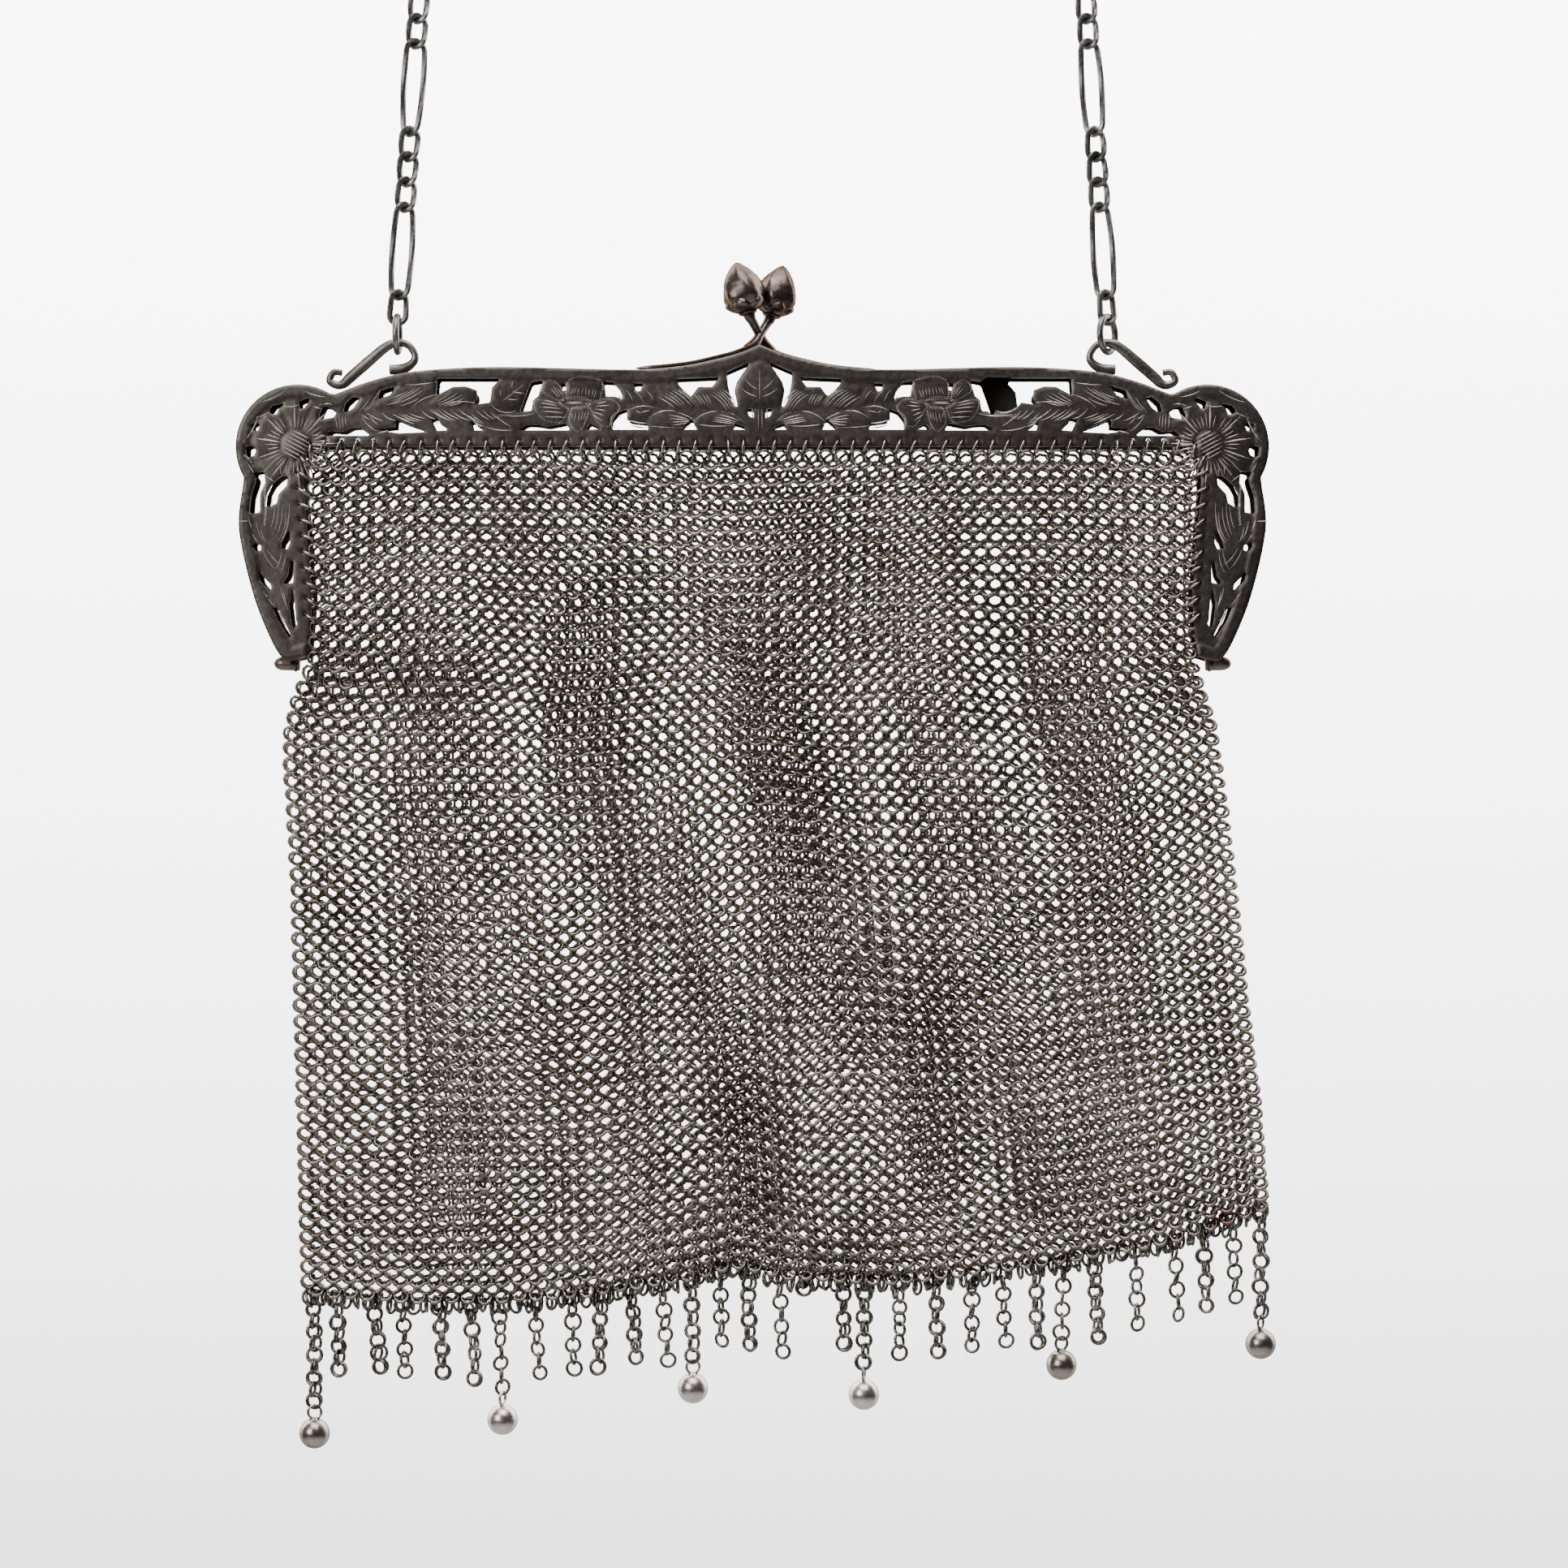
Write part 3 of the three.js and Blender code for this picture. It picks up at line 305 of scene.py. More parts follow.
def no_pinches(kept):
    """Fills cells until none touch only at a corner, so that every wall has one inside."""
    for _ in range(3):
        a, b, c, d = kept[:-1, :-1], kept[1:, 1:], kept[1:, :-1], kept[:-1, 1:]
        fill = a & b & ~c & ~d
        kept[1:, :-1] |= fill
        fill = c & d & ~a & ~b
        kept[:-1, :-1] |= fill
    return kept


def plate_mesh(pitch, gaps, grown):
    """The pierced plate: the grid cells whose middles lie in the metal, their border corners
    drawn onto its edge by steps of -f grad f, a relief face, a flat back and walls between."""
    xs = np.arange(-86, 86.1, pitch)
    zs = np.arange(-36.3, 17.6, pitch)
    x, z = (side.ravel() for side in np.meshgrid(xs, zs, indexing="ij"))
    corners = cell_corners(len(xs), len(zs))
    middle_x, middle_z = x[corners].mean(1), z[corners].mean(1)
    inside = metal_field(middle_x, middle_z, gaps, grown) < 0
    inside = no_pinches(inside.reshape(len(xs) - 1, len(zs) - 1)).ravel()
    cells = corners[inside]
    used_in = np.bincount(cells.ravel(), minlength=len(x))
    border = np.flatnonzero((used_in > 0) & (used_in < 4))
    bx, bz = x[border], z[border]
    step = 0.02
    for _ in range(4):
        f = metal_field(bx, bz, gaps, grown)
        slope_x = (metal_field(bx + step, bz, gaps, grown) - f) / step
        slope_z = (metal_field(bx, bz + step, gaps, grown) - f) / step
        steep = np.maximum(np.hypot(slope_x, slope_z), 0.5)
        move = np.clip(f / steep, -0.3, 0.3) / steep
        bx, bz = bx - move * slope_x, bz - move * slope_z
    far = np.hypot(bx - x[border], bz - z[border]) > 0.85 * pitch
    x[border] = np.where(far, x[border], bx)
    z[border] = np.where(far, z[border], bz)
    kept = np.unique(cells)
    number = np.full(len(x), -1)
    number[kept] = np.arange(len(kept))
    cells = number[cells]
    x, z = x[kept], z[kept]
    on_border = np.zeros(len(kept), bool)
    on_border[number[border]] = True
    height = np.where(on_border, -0.07, relief(x, z))
    front = np.column_stack([x, -FRAME_DEPTH / 2 - height, z])
    back = np.column_stack([x, np.full(len(x), -FRAME_DEPTH / 2 + PLATE), z])
    return np.vstack([front, back]), cells


def walled(cells, count):
    """Front cells, their copies behind facing the other way, and a wall along each edge that
    belongs to one cell only."""
    edges = np.vstack([cells[:, [i, (i + 1) % 4]] for i in range(4)])
    key = edges[:, 0] * count + edges[:, 1]
    back_key = edges[:, 1] * count + edges[:, 0]
    single = edges[~np.isin(key, back_key)]
    walls = np.column_stack([single[:, 1], single[:, 0], single[:, 0] + count, single[:, 1] + count])
    return np.vstack([cells, cells[:, ::-1] + count, walls])


def swept_band(line, section):
    """A closed section carried along a line in x and z: each corner of the section lies right
    of the line by its first figure and at the depth of its second."""
    edges = []
    for aside, depth in section:
        moved = right_of(line, aside)
        edges.append(np.column_stack([moved[:, 0], np.full(len(line), depth), moved[:, 1]]))
    rings = np.stack(edges, axis=1)
    steps, corners = rings.shape[:2]
    first = (np.arange(steps - 1)[:, None] * corners + np.arange(corners)).ravel()
    after = (np.arange(steps - 1)[:, None] * corners + (np.arange(corners) + 1) % corners).ravel()
    sides = np.column_stack([first, after, after + corners, first + corners])
    ends = np.array([np.arange(corners)[::-1], (steps - 1) * corners + np.arange(corners)])
    return rings.reshape(-1, 3), [sides, ends]


def add_piece(name, points, face_sets, material, edge=38):
    """A mesh object from points in millimetres and arrays of faces, each array of one size. It is
    shaded smooth, but for edges sharper than an angle in degrees."""
    mesh = bpy.data.meshes.new(name)
    loops = np.concatenate([faces.ravel() for faces in face_sets]).astype(np.int32)
    sizes = np.concatenate([np.full(len(faces), faces.shape[1]) for faces in face_sets])
    starts = np.concatenate([[0], np.cumsum(sizes)[:-1]]).astype(np.int32)
    mesh.vertices.add(len(points))
    mesh.vertices.foreach_set("co", (points * MM + ORIGIN).astype(np.float32).ravel())
    mesh.loops.add(len(loops))
    mesh.loops.foreach_set("vertex_index", loops)
    mesh.polygons.add(len(starts))
    mesh.polygons.foreach_set("loop_start", starts)
    mesh.update(calc_edges=True)
    mesh.validate()
    mesh.materials.append(material)
    piece = bpy.data.objects.new(name, mesh)
    bpy.context.scene.collection.objects.link(piece)
    mesh.shade_smooth()
    mesh.set_sharp_from_angle(angle=math.radians(edge))
    return piece


def value_node(tree, kind, **settings):
    """A shader node with its settings: numbers for its sockets by name, the rest as they are."""
    node = tree.nodes.new(kind)
    for name, value in settings.items():
        socket = node.inputs.get(name.replace("_", " ").title())
        if socket:
            socket.default_value = value
        else:
            setattr(node, name, value)
    return node


def silver(name, dark, light, rough, patch=90.0, patina=(0.35, 0.62), bump=0.12, stain=None, metallic=1.0):
    """Old silver: a dark tarnish and a lighter worn metal mixed by a slow and a fast noise, fine
    scratches in the roughness, and a little unevenness of the surface."""
    material = bpy.data.materials.new(name)
    material.use_nodes = True
    tree = material.node_tree
    shader = tree.nodes["Principled BSDF"]
    shader.inputs["Metallic"].default_value = metallic
    shader.inputs["Specular Tint"].default_value = (0.3, 0.28, 0.26, 1)
    place = tree.nodes.new("ShaderNodeTexCoord")
    slow = value_node(tree, "ShaderNodeTexNoise", scale=patch, detail=4.0, roughness=0.62)
    fast = value_node(tree, "ShaderNodeTexNoise", scale=patch * 12, detail=3.0, roughness=0.7)
    tree.links.new(place.outputs["Object"], slow.inputs["Vector"])
    tree.links.new(place.outputs["Object"], fast.inputs["Vector"])
    mix = value_node(tree, "ShaderNodeMix", data_type="FLOAT", factor=0.35)
    tree.links.new(slow.outputs["Fac"], mix.inputs[2])
    tree.links.new(fast.outputs["Fac"], mix.inputs[3])
    ramp = tree.nodes.new("ShaderNodeValToRGB")
    ramp.color_ramp.elements[0].position = patina[0]
    ramp.color_ramp.elements[0].color = (*dark, 1)
    ramp.color_ramp.elements[1].position = patina[1]
    ramp.color_ramp.elements[1].color = (*light, 1)
    tree.links.new(mix.outputs[0], ramp.inputs["Fac"])
    colour = ramp.outputs["Color"]
    if stain:
        from_stain = value_node(tree, "ShaderNodeVectorMath", operation="DISTANCE")
        from_stain.inputs[1].default_value = np.array(stain) * MM + ORIGIN
        tree.links.new(place.outputs["Object"], from_stain.inputs[0])
        near = value_node(tree, "ShaderNodeMapRange")
        near.inputs["From Min"].default_value = 3.4 * MM
        near.inputs["From Max"].default_value = 0.8 * MM
        tree.links.new(from_stain.outputs["Value"], near.inputs["Value"])
        stained = value_node(tree, "ShaderNodeMix", data_type="RGBA")
        stained.inputs["B"].default_value = (0.11, 0.035, 0.02, 1)
        tree.links.new(near.outputs["Result"], stained.inputs["Factor"])
        tree.links.new(colour, stained.inputs["A"])
        colour = stained.outputs["Result"]
    tree.links.new(colour, shader.inputs["Base Color"])
    spread = value_node(tree, "ShaderNodeMapRange")
    spread.inputs["To Min"].default_value = rough - 0.1
    spread.inputs["To Max"].default_value = rough + 0.14
    tree.links.new(fast.outputs["Fac"], spread.inputs["Value"])
    tree.links.new(spread.outputs["Result"], shader.inputs["Roughness"])
    uneven = value_node(tree, "ShaderNodeBump", strength=bump, distance=0.0002)
    tree.links.new(fast.outputs["Fac"], uneven.inputs["Height"])
    tree.links.new(uneven.outputs["Normal"], shader.inputs["Normal"])
    return material


def half_turn(points):
    """The same points on the back half, turned round the upright through the purse's middle."""
    return points * (-1, -1, 1)


frame_metal = silver("frame_silver", (0.050, 0.042, 0.037), (0.105, 0.093, 0.084), 0.42)
flange_line = outer_edge[outer_edge[:, 1] > -0.9 * ARM_LENGTH]
flange_section = [
    (0.03, -3.3), (0.03, -0.3), (0.13, -HALF_GAP), (0.72, -HALF_GAP), (0.8, -0.3), (0.8, -3.3),
]
# Each half's node, what it has lost, the pitch of its grid and how far its metal is grown
halves = [("frame_front", [np.array(LOST_LEAF)], 0.33, 0.12), ("frame_back", [], 0.46, 0.28)]
for node, lost, pitch, grown in halves:
    plate_points, plate_cells = plate_mesh(pitch, mirrored(GAPS) + lost, grown)
    plate_faces = walled(plate_cells, len(plate_points) // 2)
    flange_points, flange_faces = swept_band(flange_line, flange_section)
    points = np.vstack([plate_points, flange_points])
    faces = [plate_faces] + [part + len(plate_points) for part in flange_faces]
    if node == "frame_back":
        points = half_turn(points)
    half = add_piece(f"{node}_metal", shifted(points), faces, frame_metal)
    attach(half, "root")
    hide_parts(node)


# The engraving. Bright cuts made after the piercing: veins and edges of the leaves, rays in the
# daisies, hatching on their discs and rows of fine milled dashes. Each is a fine ridge here,
# since a cut that catches the light reads the same and stays whole on a coarse plate. Their
# pale, half-metallic colour is a painted glint, so each cut shows bright whichever way it faces.
CUT_RISE = 0.03
CUT_WIDTH = 0.24
CUT_PLACES = 6
# The cuts' pale colour and low metallic are a painted glint: each cut looks bright whichever way it faces.
cut_glint_metal = silver("cut_painted_glint", (0.27, 0.245, 0.215), (0.52, 0.48, 0.435), 0.35, metallic=0.4)

# Cuts of the left half by their ends and the bow to their left: x, z, x, z, bow
SPRAY_CUTS = [
    (-21.9, 9.3, -20.8, 7.4, 0.15), (-20.7, 9.2, -19.1, 7.1, 0.3), (-18.6, 9.2, -17.5, 7.6, 0.15),
    (-16.7, 8.2, -14, 6.4, 0.1), (-16, 8.5, -13.1, 6.5, 0.15), (-15.5, 8.8, -12.5, 6.4, 0.2),
    (-15.1, 9.1, -12, 6.4, 0.25), (-14.6, 9.3, -11.2, 6.6, 0.3), (-14, 9.4, -10.8, 7, 0.3),
    (-13.4, 9.4, -10.5, 7.2, 0.3), (-10.7, 8.5, -9.5, 6.9, 0.1), (-10.2, 8.5, -9, 6.9, 0.1),
    (-9.5, 8.7, -8.5, 7, 0.1), (-9, 8.7, -8.1, 7.1, 0.1), (-8.1, 8.6, -5.4, 6, 0.3),
    (-7.6, 8.9, -4.9, 6, 0.35), (-7.1, 9.1, -4.5, 6.2, 0.35), (-6.6, 9.2, -4.1, 6.2, 0.35),
    (-6.2, 9.4, -4, 7.1, 0.3), (-14.9, 5.2, -11.7, 4.4, 0.08), (-14.8, 4.6, -11.6, 4.2, 0.05),
    (-14.6, 4, -11.7, 4.1, 0), (-14.4, 3.5, -12, 3.9, -0.05), (-13.5, 5.6, -11, 4.5, 0.12),
    (-7.3, 4.8, -3.8, 4, 0.1), (-7.6, 4.5, -4, 3.8, 0.05), (-7.8, 4.2, -4.3, 3.7, 0),
    (-6.7, 5.2, -3.3, 4.2, 0.12), (-5.3, 5.7, -2.7, 4, 0.25), (-21.6, 5.9, -17.3, 6.4, 0.5),
    (-20.3, 6, -19.6, 5.5, -0.05), (-19.6, 5.5, -18, 5.9, 0.1), (-18.3, 4.6, -13.7, 5.8, 0.6),
    (-10.9, 4.1, -5.7, 5.7, 0.75), (-10.9, 3.8, -4.2, 3.5, -0.3), (-18.3, 3.4, -12.7, 3.1, -0.1),
    (-21.7, 4.4, -18.6, 3.8, -0.15), (-23.1, 8.4, -22.7, 7.3, 0.1), (-1.2, 6.2, -1.2, 5.1, 0),
]
FLOWER_CUTS = [
    (-34.2, 9.6, -32.9, 8.1, 0.05), (-33.8, 10, -32.6, 8.2, 0.05), (-33.2, 9.8, -32.3, 8.4, 0.05),
    (-30.4, 9.8, -30.9, 8.5, 0), (-30, 9.8, -30.4, 8.7, 0), (-29.5, 9.7, -29.8, 8.6, 0),
    (-28.9, 9.7, -29.2, 8.5, 0), (-28.4, 9.7, -28.5, 8.4, 0), (-27.8, 9.6, -28, 8.4, 0),
    (-27.2, 9.5, -27.5, 8.1, 0), (-26.7, 9.4, -27.2, 7.9, 0), (-35.7, 7.8, -33.3, 7.1, 0.05),
    (-36, 7.2, -33.1, 6.7, 0.05), (-36, 6.5, -32.6, 6.2, 0.05), (-35.7, 5.8, -32.1, 5.5, 0.05),
    (-35.3, 4.9, -31.6, 4.8, 0), (-30.8, 5.6, -30.6, 4.6, 0), (-30.1, 5.7, -30.4, 4, 0.05),
    (-29.5, 5.7, -29.7, 4, 0.05), (-29, 5.7, -29.3, 4.2, 0.05), (-28.5, 5.7, -28.9, 4.4, 0.05),
    (-26.7, 7.1, -25.1, 7.4, 0), (-26.9, 6.6, -24.6, 6.8, 0), (-26.9, 6.2, -25.3, 5.9, 0),
    (-27.2, 5.7, -25.6, 5.1, 0), (-27.4, 5.3, -25.8, 4.2, 0), (-31.9, 7.1, -28.9, 7.2, -0.05),
    (-31.7, 7.4, -29.2, 7.4, -0.08),
]
BRANCH_CUTS = [
    (-65.2, 5.6, -61.8, 9.4, -0.42), (-65.1, 5.9, -63.4, 8, -0.12), (-64.5, 5.7, -62.4, 7.7, -0.15),
    (-60.2, 7.9, -57.3, 9.1, -0.1), (-59.9, 7.5, -56, 9.6, -0.15), (-59.5, 7.4, -55.1, 9.8, -0.2),
    (-59.1, 7.1, -54.8, 9.3, -0.2), (-60.7, 6.9, -58.2, 7.7, -0.1), (-58.5, 6.7, -55.4, 8, -0.15),
    (-57.7, 10.2, -52.5, 10.7, -0.15), (-56.7, 6.4, -52.5, 8.6, 0.4), (-52.6, 7.4, -50.2, 9, -0.1),
    (-52.6, 7, -49.2, 8.8, -0.12), (-52.3, 6.8, -48.4, 8.5, -0.12), (-51.5, 6.7, -48.1, 8, -0.12),
    (-50.8, 6.7, -48, 7.5, -0.1), (-52.3, 6.7, -46.4, 7.2, 0.45), (-64.9, 5.2, -62.4, 2.5, -0.3),
    (-64.8, 5.3, -63.5, 4.5, -0.1), (-64, 5.6, -61.3, 4.2, -0.15), (-63.5, 5, -62.1, 3.6, -0.1),
    (-61.5, 5.6, -59.2, 4.3, -0.3), (-59.9, 5.4, -56.7, 4.2, -0.15), (-59.3, 5.2, -56.2, 3.7, -0.15),
    (-58.8, 5.4, -55.4, 4, -0.15), (-58.2, 5.4, -54.8, 4.2, -0.12), (-57.1, 5.5, -54.5, 4.6, -0.1),
    (-55.3, 6.3, -52.8, 4.5, -0.3), (-53.9, 6.3, -50.8, 4.4, -0.2), (-53.2, 6.1, -50.2, 4.2, -0.2),
    (-52.5, 6.2, -49.5, 4.2, -0.2), (-51.7, 6.1, -48.9, 4.5, -0.15), (-50.5, 6.2, -47.1, 4.3, -0.35),
    (-49.2, 6.3, -46.1, 4.5, -0.3), (-46.7, 4.2, -44.9, 3.3, -0.15), (-44.9, 3.3, -40.3, 2.7, -0.3),
    (-48.6, 5.9, -44.9, 3.7, -0.3), (-47.1, 5.6, -45.2, 4, -0.15), (-46.1, 5.9, -44, 4.4, -0.15),
    (-45.2, 6.1, -43.3, 4.5, -0.15), (-44, 5.9, -42.1, 4.2, -0.12), (-43.2, 5.5, -40.6, 3.3, -0.25),
    (-42.7, 5.3, -36.8, 5.4, -0.35), (-42.1, 7.4, -38.5, 10.4, -0.1), (-42.3, 8.2, -42.2, 9.4, 0.05),
    (-40.3, 11, -40.5, 9.6, 0.05), (-40.4, 9.1, -38.5, 8.8, -0.08), (-41.2, 7.9, -39.6, 7.7, -0.08),
    (-44, 7.2, -39.6, 5.9, -0.9), (-73.1, 1.9, -70.9, 1.8, 0), (-62.3, 2.1, -60.4, 2.6, 0),
    (-82.2, 4.8, -79.9, 5.7, -0.1), (-77.8, 6.7, -75.1, 6.9, -0.25), (-72.8, 6.7, -71.5, 6.3, -0.1),
]
ARM_CUTS = [
    (-76.7, -11.3, -78.3, -16, 0.4), (-77.3, -10.8, -78.6, -15.8, 0.5), (-77.9, -10, -79, -15.1, 0.4),
    (-78.5, -9.3, -79.4, -14.7, 0.3), (-79.1, -10, -79.9, -13.8, 0.2), (-76.7, -9.3, -77.5, -14.2, 0.3),
    (-83, -13.6, -81.8, -16, -0.2), (-82.2, -12.4, -81, -15.7, -0.2), (-81.4, -13.3, -80.5, -16, -0.2),
    (-83.4, -11.6, -82.5, -14.2, -0.2), (-81.1, -17.1, -79.2, -20.2, -0.2),
    (-80.4, -16.9, -78.3, -19.5, -0.2), (-77.9, -17.3, -79, -20.4, 0.2),
    (-77.3, -17.8, -78.2, -20.9, 0.2), (-81, -24, -79, -26.6, -0.1), (-78.1, -23.3, -77.2, -26.4, -0.1),
    (-77.6, -24, -76.9, -27.1, -0.1), (-78.6, -27.1, -77, -30.6, 0), (-78.2, -26.9, -77.2, -28.9, -0.4),
    (-85, -12.4, -83.5, -12.4, 0), (-80.7, -4.8, -79.3, -5.8, 0), (-83.6, -2.7, -82.6, -4.4, 0),
    (-79.4, -2.7, -81, -4.3, 0), (-78.2, -3.1, -78.1, -4.7, 0), (-77.1, -3.1, -77.2, -4.8, 0),
]
LOBE_CUTS = [
    (-84.4, 0.6, -81.6, 6.2, -0.5), (-81.6, 7.3, -77.2, 9.3, -0.3), (-74.0, 9.1, -70.8, 8.2, -0.2),
    (-72.0, 6.6, -69.6, 6.9, 0.3), (-84.2, -1.4, -82.4, -4.0, 0.3),
]
TIE_CUTS = [
    (-69.1, 5.3, -68.8, 2.9, 0), (-68.5, 5.4, -68.3, 2.9, 0), (-68, 5.3, -67.8, 3, 0),
    (-67.5, 5.2, -67.3, 3.3, 0),
]
MIDDLE_CUTS = [
    (0, 12.6, 0, 7, 0), (-0.4, 9.4, -2.4, 11.2, 0.2), (-0.4, 8.2, -3, 9.6, 0.2), (0.4, 9.4, 2.4, 11.2, -0.2),
    (0.4, 8.2, 3, 9.6, -0.2), (-0.2, 6.2, -0.2, 2.8, 0), (0.4, 6.2, 0.4, 2.8, 0),
]
ARM_STEM = [(-80.9, -6.2), (-80.7, -8.4), (-80.6, -10.6), (-80.8, -13.2)]
SPRAY_STEM = [(-44.0, 4.6), (-41.0, 5.3), (-38.5, 5.5), (-36.6, 5.4)]
DAISY_BOUNDS = [92, 47, 138, 171, 199, 233, 275, 2]


def rays(middle, angles, inner, outer):
    """Straight cuts that leave a middle at angles in degrees, from one radius to another."""
    turn = np.radians(np.asarray(angles, float))[:, None]
    reach = inner[:, None] + (outer - inner)[:, None] * np.linspace(0, 1, CUT_PLACES)
    return np.stack([middle[0] + reach * np.cos(turn), middle[1] + reach * np.sin(turn)], axis=-1)


def bowed(rows):
    """Cuts given by two ends and a bow to their left: at a share t along, a cut stands
    4 t (1 - t) bow aside of the straight line."""
    rows = np.asarray(rows, float)
    t = np.linspace(0, 1, CUT_PLACES)
    ends = rows[:, :2, None] + (rows[:, 2:4] - rows[:, :2])[:, :, None] * t
    way = rows[:, 2:4] - rows[:, :2]
    way /= np.linalg.norm(way, axis=1, keepdims=True)
    aside = 4 * t * (1 - t) * rows[:, 4:5]
    return np.stack([ends[:, 0] - aside * way[:, 1:], ends[:, 1] + aside * way[:, :1]], axis=-1)


def milled(line, pitch, reach):
    """Short dashes across a line, as a toothed wheel leaves them."""
    place, way = evenly_along(line, pitch)
    aside = np.column_stack([-way[:, 1], way[:, 0]]) * reach / 2
    return bowed(np.hstack([place - aside, place + aside, np.zeros((len(place), 1))]))


def ridge_mesh(lines, widths):
    """One closed sliver along each line, tapered at both ends: a left, a crest and a right
    corner at each of its places, laid on the chased face."""
    way = np.gradient(lines, axis=1)
    way /= np.linalg.norm(way, axis=2, keepdims=True) + 1e-9
    left = np.stack([-way[..., 1], way[..., 0]], axis=-1)
    taper = np.sin(np.linspace(0.12, math.pi - 0.12, lines.shape[1])) ** 0.6
    reach = widths[:, None, None] / 2 * taper[None, :, None]
    face = relief(lines[..., 0], lines[..., 1])
    depth = np.stack([-face + 0.04, -face - CUT_RISE, -face + 0.04], axis=2) - FRAME_DEPTH / 2
    flat = np.stack([lines + left * reach, lines, lines - left * reach], axis=2)
    points = np.concatenate([flat[..., :1], depth[..., None], flat[..., 1:]], axis=-1)
    count, places = lines.shape[:2]
    first = (np.arange(count)[:, None, None] * places + np.arange(places - 1)[None, :, None]) * 3
    corner = np.arange(3)
    a = (first + corner).ravel()
    b = (first + (corner + 1) % 3).ravel()
    sides = np.column_stack([a, a + 3, b + 3, b])
    start = np.arange(count)[:, None] * places * 3
    caps = np.vstack([start + np.array([0, 1, 2]), start + (places - 1) * 3 + np.array([2, 1, 0])])
    return points.reshape(-1, 3), [sides, caps]


def inset_line(points, inset):
    """A closed outline drawn smooth and moved inwards."""
    line = smooth_line(np.vstack([points, points[:1]]), 4)
    turn = np.cross(np.roll(line, -1, axis=0), line).sum()
    return right_of(line, inset * (1 if turn > 0 else -1))


mirror = np.array([-1.0, 1.0])
daisy_rays = np.arange(8, 368, 9.5)
daisy_reach = DAISY_REACH - 1.4 - 1.1 * np.abs(np.sin(np.arange(len(daisy_rays)) * 2.4))
hatch_z = np.linspace(-1.9, 1.9, 7)
hatch_half = np.sqrt((DAISY_DISC - 0.25) ** 2 - hatch_z**2)
hatch = bowed(np.column_stack([-hatch_half, hatch_z, hatch_half, hatch_z, 0 * hatch_z]))
turn = math.radians(-28)
hatch = hatch @ np.array([[math.cos(turn), math.sin(turn)], [-math.sin(turn), math.cos(turn)]]) + DAISY
fine = [bowed(rows) for rows in (SPRAY_CUTS, FLOWER_CUTS, BRANCH_CUTS, ARM_CUTS, LOBE_CUTS, TIE_CUTS)]
fine += [rays(DAISY, daisy_rays, np.full(len(daisy_rays), DAISY_DISC + 0.3), daisy_reach), hatch]
bold = [rays(DAISY, DAISY_BOUNDS, np.full(8, DAISY_DISC + 0.1), np.full(8, DAISY_REACH - 0.3))]
oval_turn = np.linspace(0, 2 * math.pi, 40)
flower_oval = np.column_stack([-30.2 + 2.5 * np.cos(oval_turn), 7.2 + 0.95 * np.sin(oval_turn)])
beads = [milled(inset_line(np.array(petal), 0.25), 0.32, 0.36) for petal in PETALS]
beads += [milled(line, 0.3, 0.5) for line in (flower_oval, np.array(ARM_STEM), np.array(SPRAY_STEM))]
groups = [(fine, CUT_WIDTH), (bold, 1.5 * CUT_WIDTH), (beads, 0.8 * CUT_WIDTH)]
lines, widths = [bowed(MIDDLE_CUTS)], [np.full(len(MIDDLE_CUTS), CUT_WIDTH)]
for group, width in groups:
    one_side = np.vstack(group)
    lines += [one_side, one_side * mirror]
    widths.append(np.full(2 * len(one_side), width))
lines, widths = np.vstack(lines), np.concatenate(widths)
middles = lines[:, CUT_PLACES // 2]
on_lost = polygon_field(middles[:, 0], middles[:, 1], np.array(LOST_LEAF)) < 0
for node, kept in (("frame_front", ~on_lost), ("frame_back", np.full(len(lines), True))):
    points, faces = ridge_mesh(lines[kept], widths[kept])
    if node == "frame_back":
        points = half_turn(points)
    cuts = add_piece(f"{node}_engraving", shifted(points), faces, cut_glint_metal)
    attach(cuts, "root")


# The clasp. Each half has a thin strip riveted along the top flange, which runs up to the peak
# and on as a stem to a closed rosebud: the front half's leans right, the back half's left.
CLASP_LEAN = 13
BUD_FOOT = np.array([1.9, 1.9, 22.1])
BUD_HEIGHT = 8.9
BUD_RADIUS = 3.5
clasp_metal = silver("clasp_silver", (0.045, 0.033, 0.028), (0.15, 0.125, 0.108), 0.3, patch=200)


def wire_mesh(path, flat, deep, sides):
    """A closed wire along a path: an oval section of half sizes flat (in the x-z plane, across
    the path) and deep (towards the back) at each of its places."""
    way = np.gradient(path, axis=0)
    way /= np.linalg.norm(way, axis=1, keepdims=True)
    level = np.column_stack([-way[:, 2], 0 * way[:, 0], way[:, 0]])
    level /= np.linalg.norm(level, axis=1, keepdims=True)
    third = np.cross(way, level)
    angle = 2 * np.pi * np.arange(sides) / sides
    flat = np.broadcast_to(flat, len(path))[:, None, None]
    deep = np.broadcast_to(deep, len(path))[:, None, None]
    rings = path[:, None] + flat * np.cos(angle)[None, :, None] * level[:, None]
    rings = rings + deep * np.sin(angle)[None, :, None] * third[:, None]
    return rings.reshape(-1, 3), tube_faces(len(path), sides)


def tube_faces(steps, sides):
    """Faces round a tube of rings of points, with an end cap on each end."""
    i, j = np.meshgrid(np.arange(steps - 1), np.arange(sides), indexing="ij")
    a, b = (i * sides + j).ravel(), (i * sides + (j + 1) % sides).ravel()
    walls = np.column_stack([a, b, b + sides, a + sides])
    caps = np.array([np.arange(sides)[::-1], (steps - 1) * sides + np.arange(sides)])
    return [walls, caps]


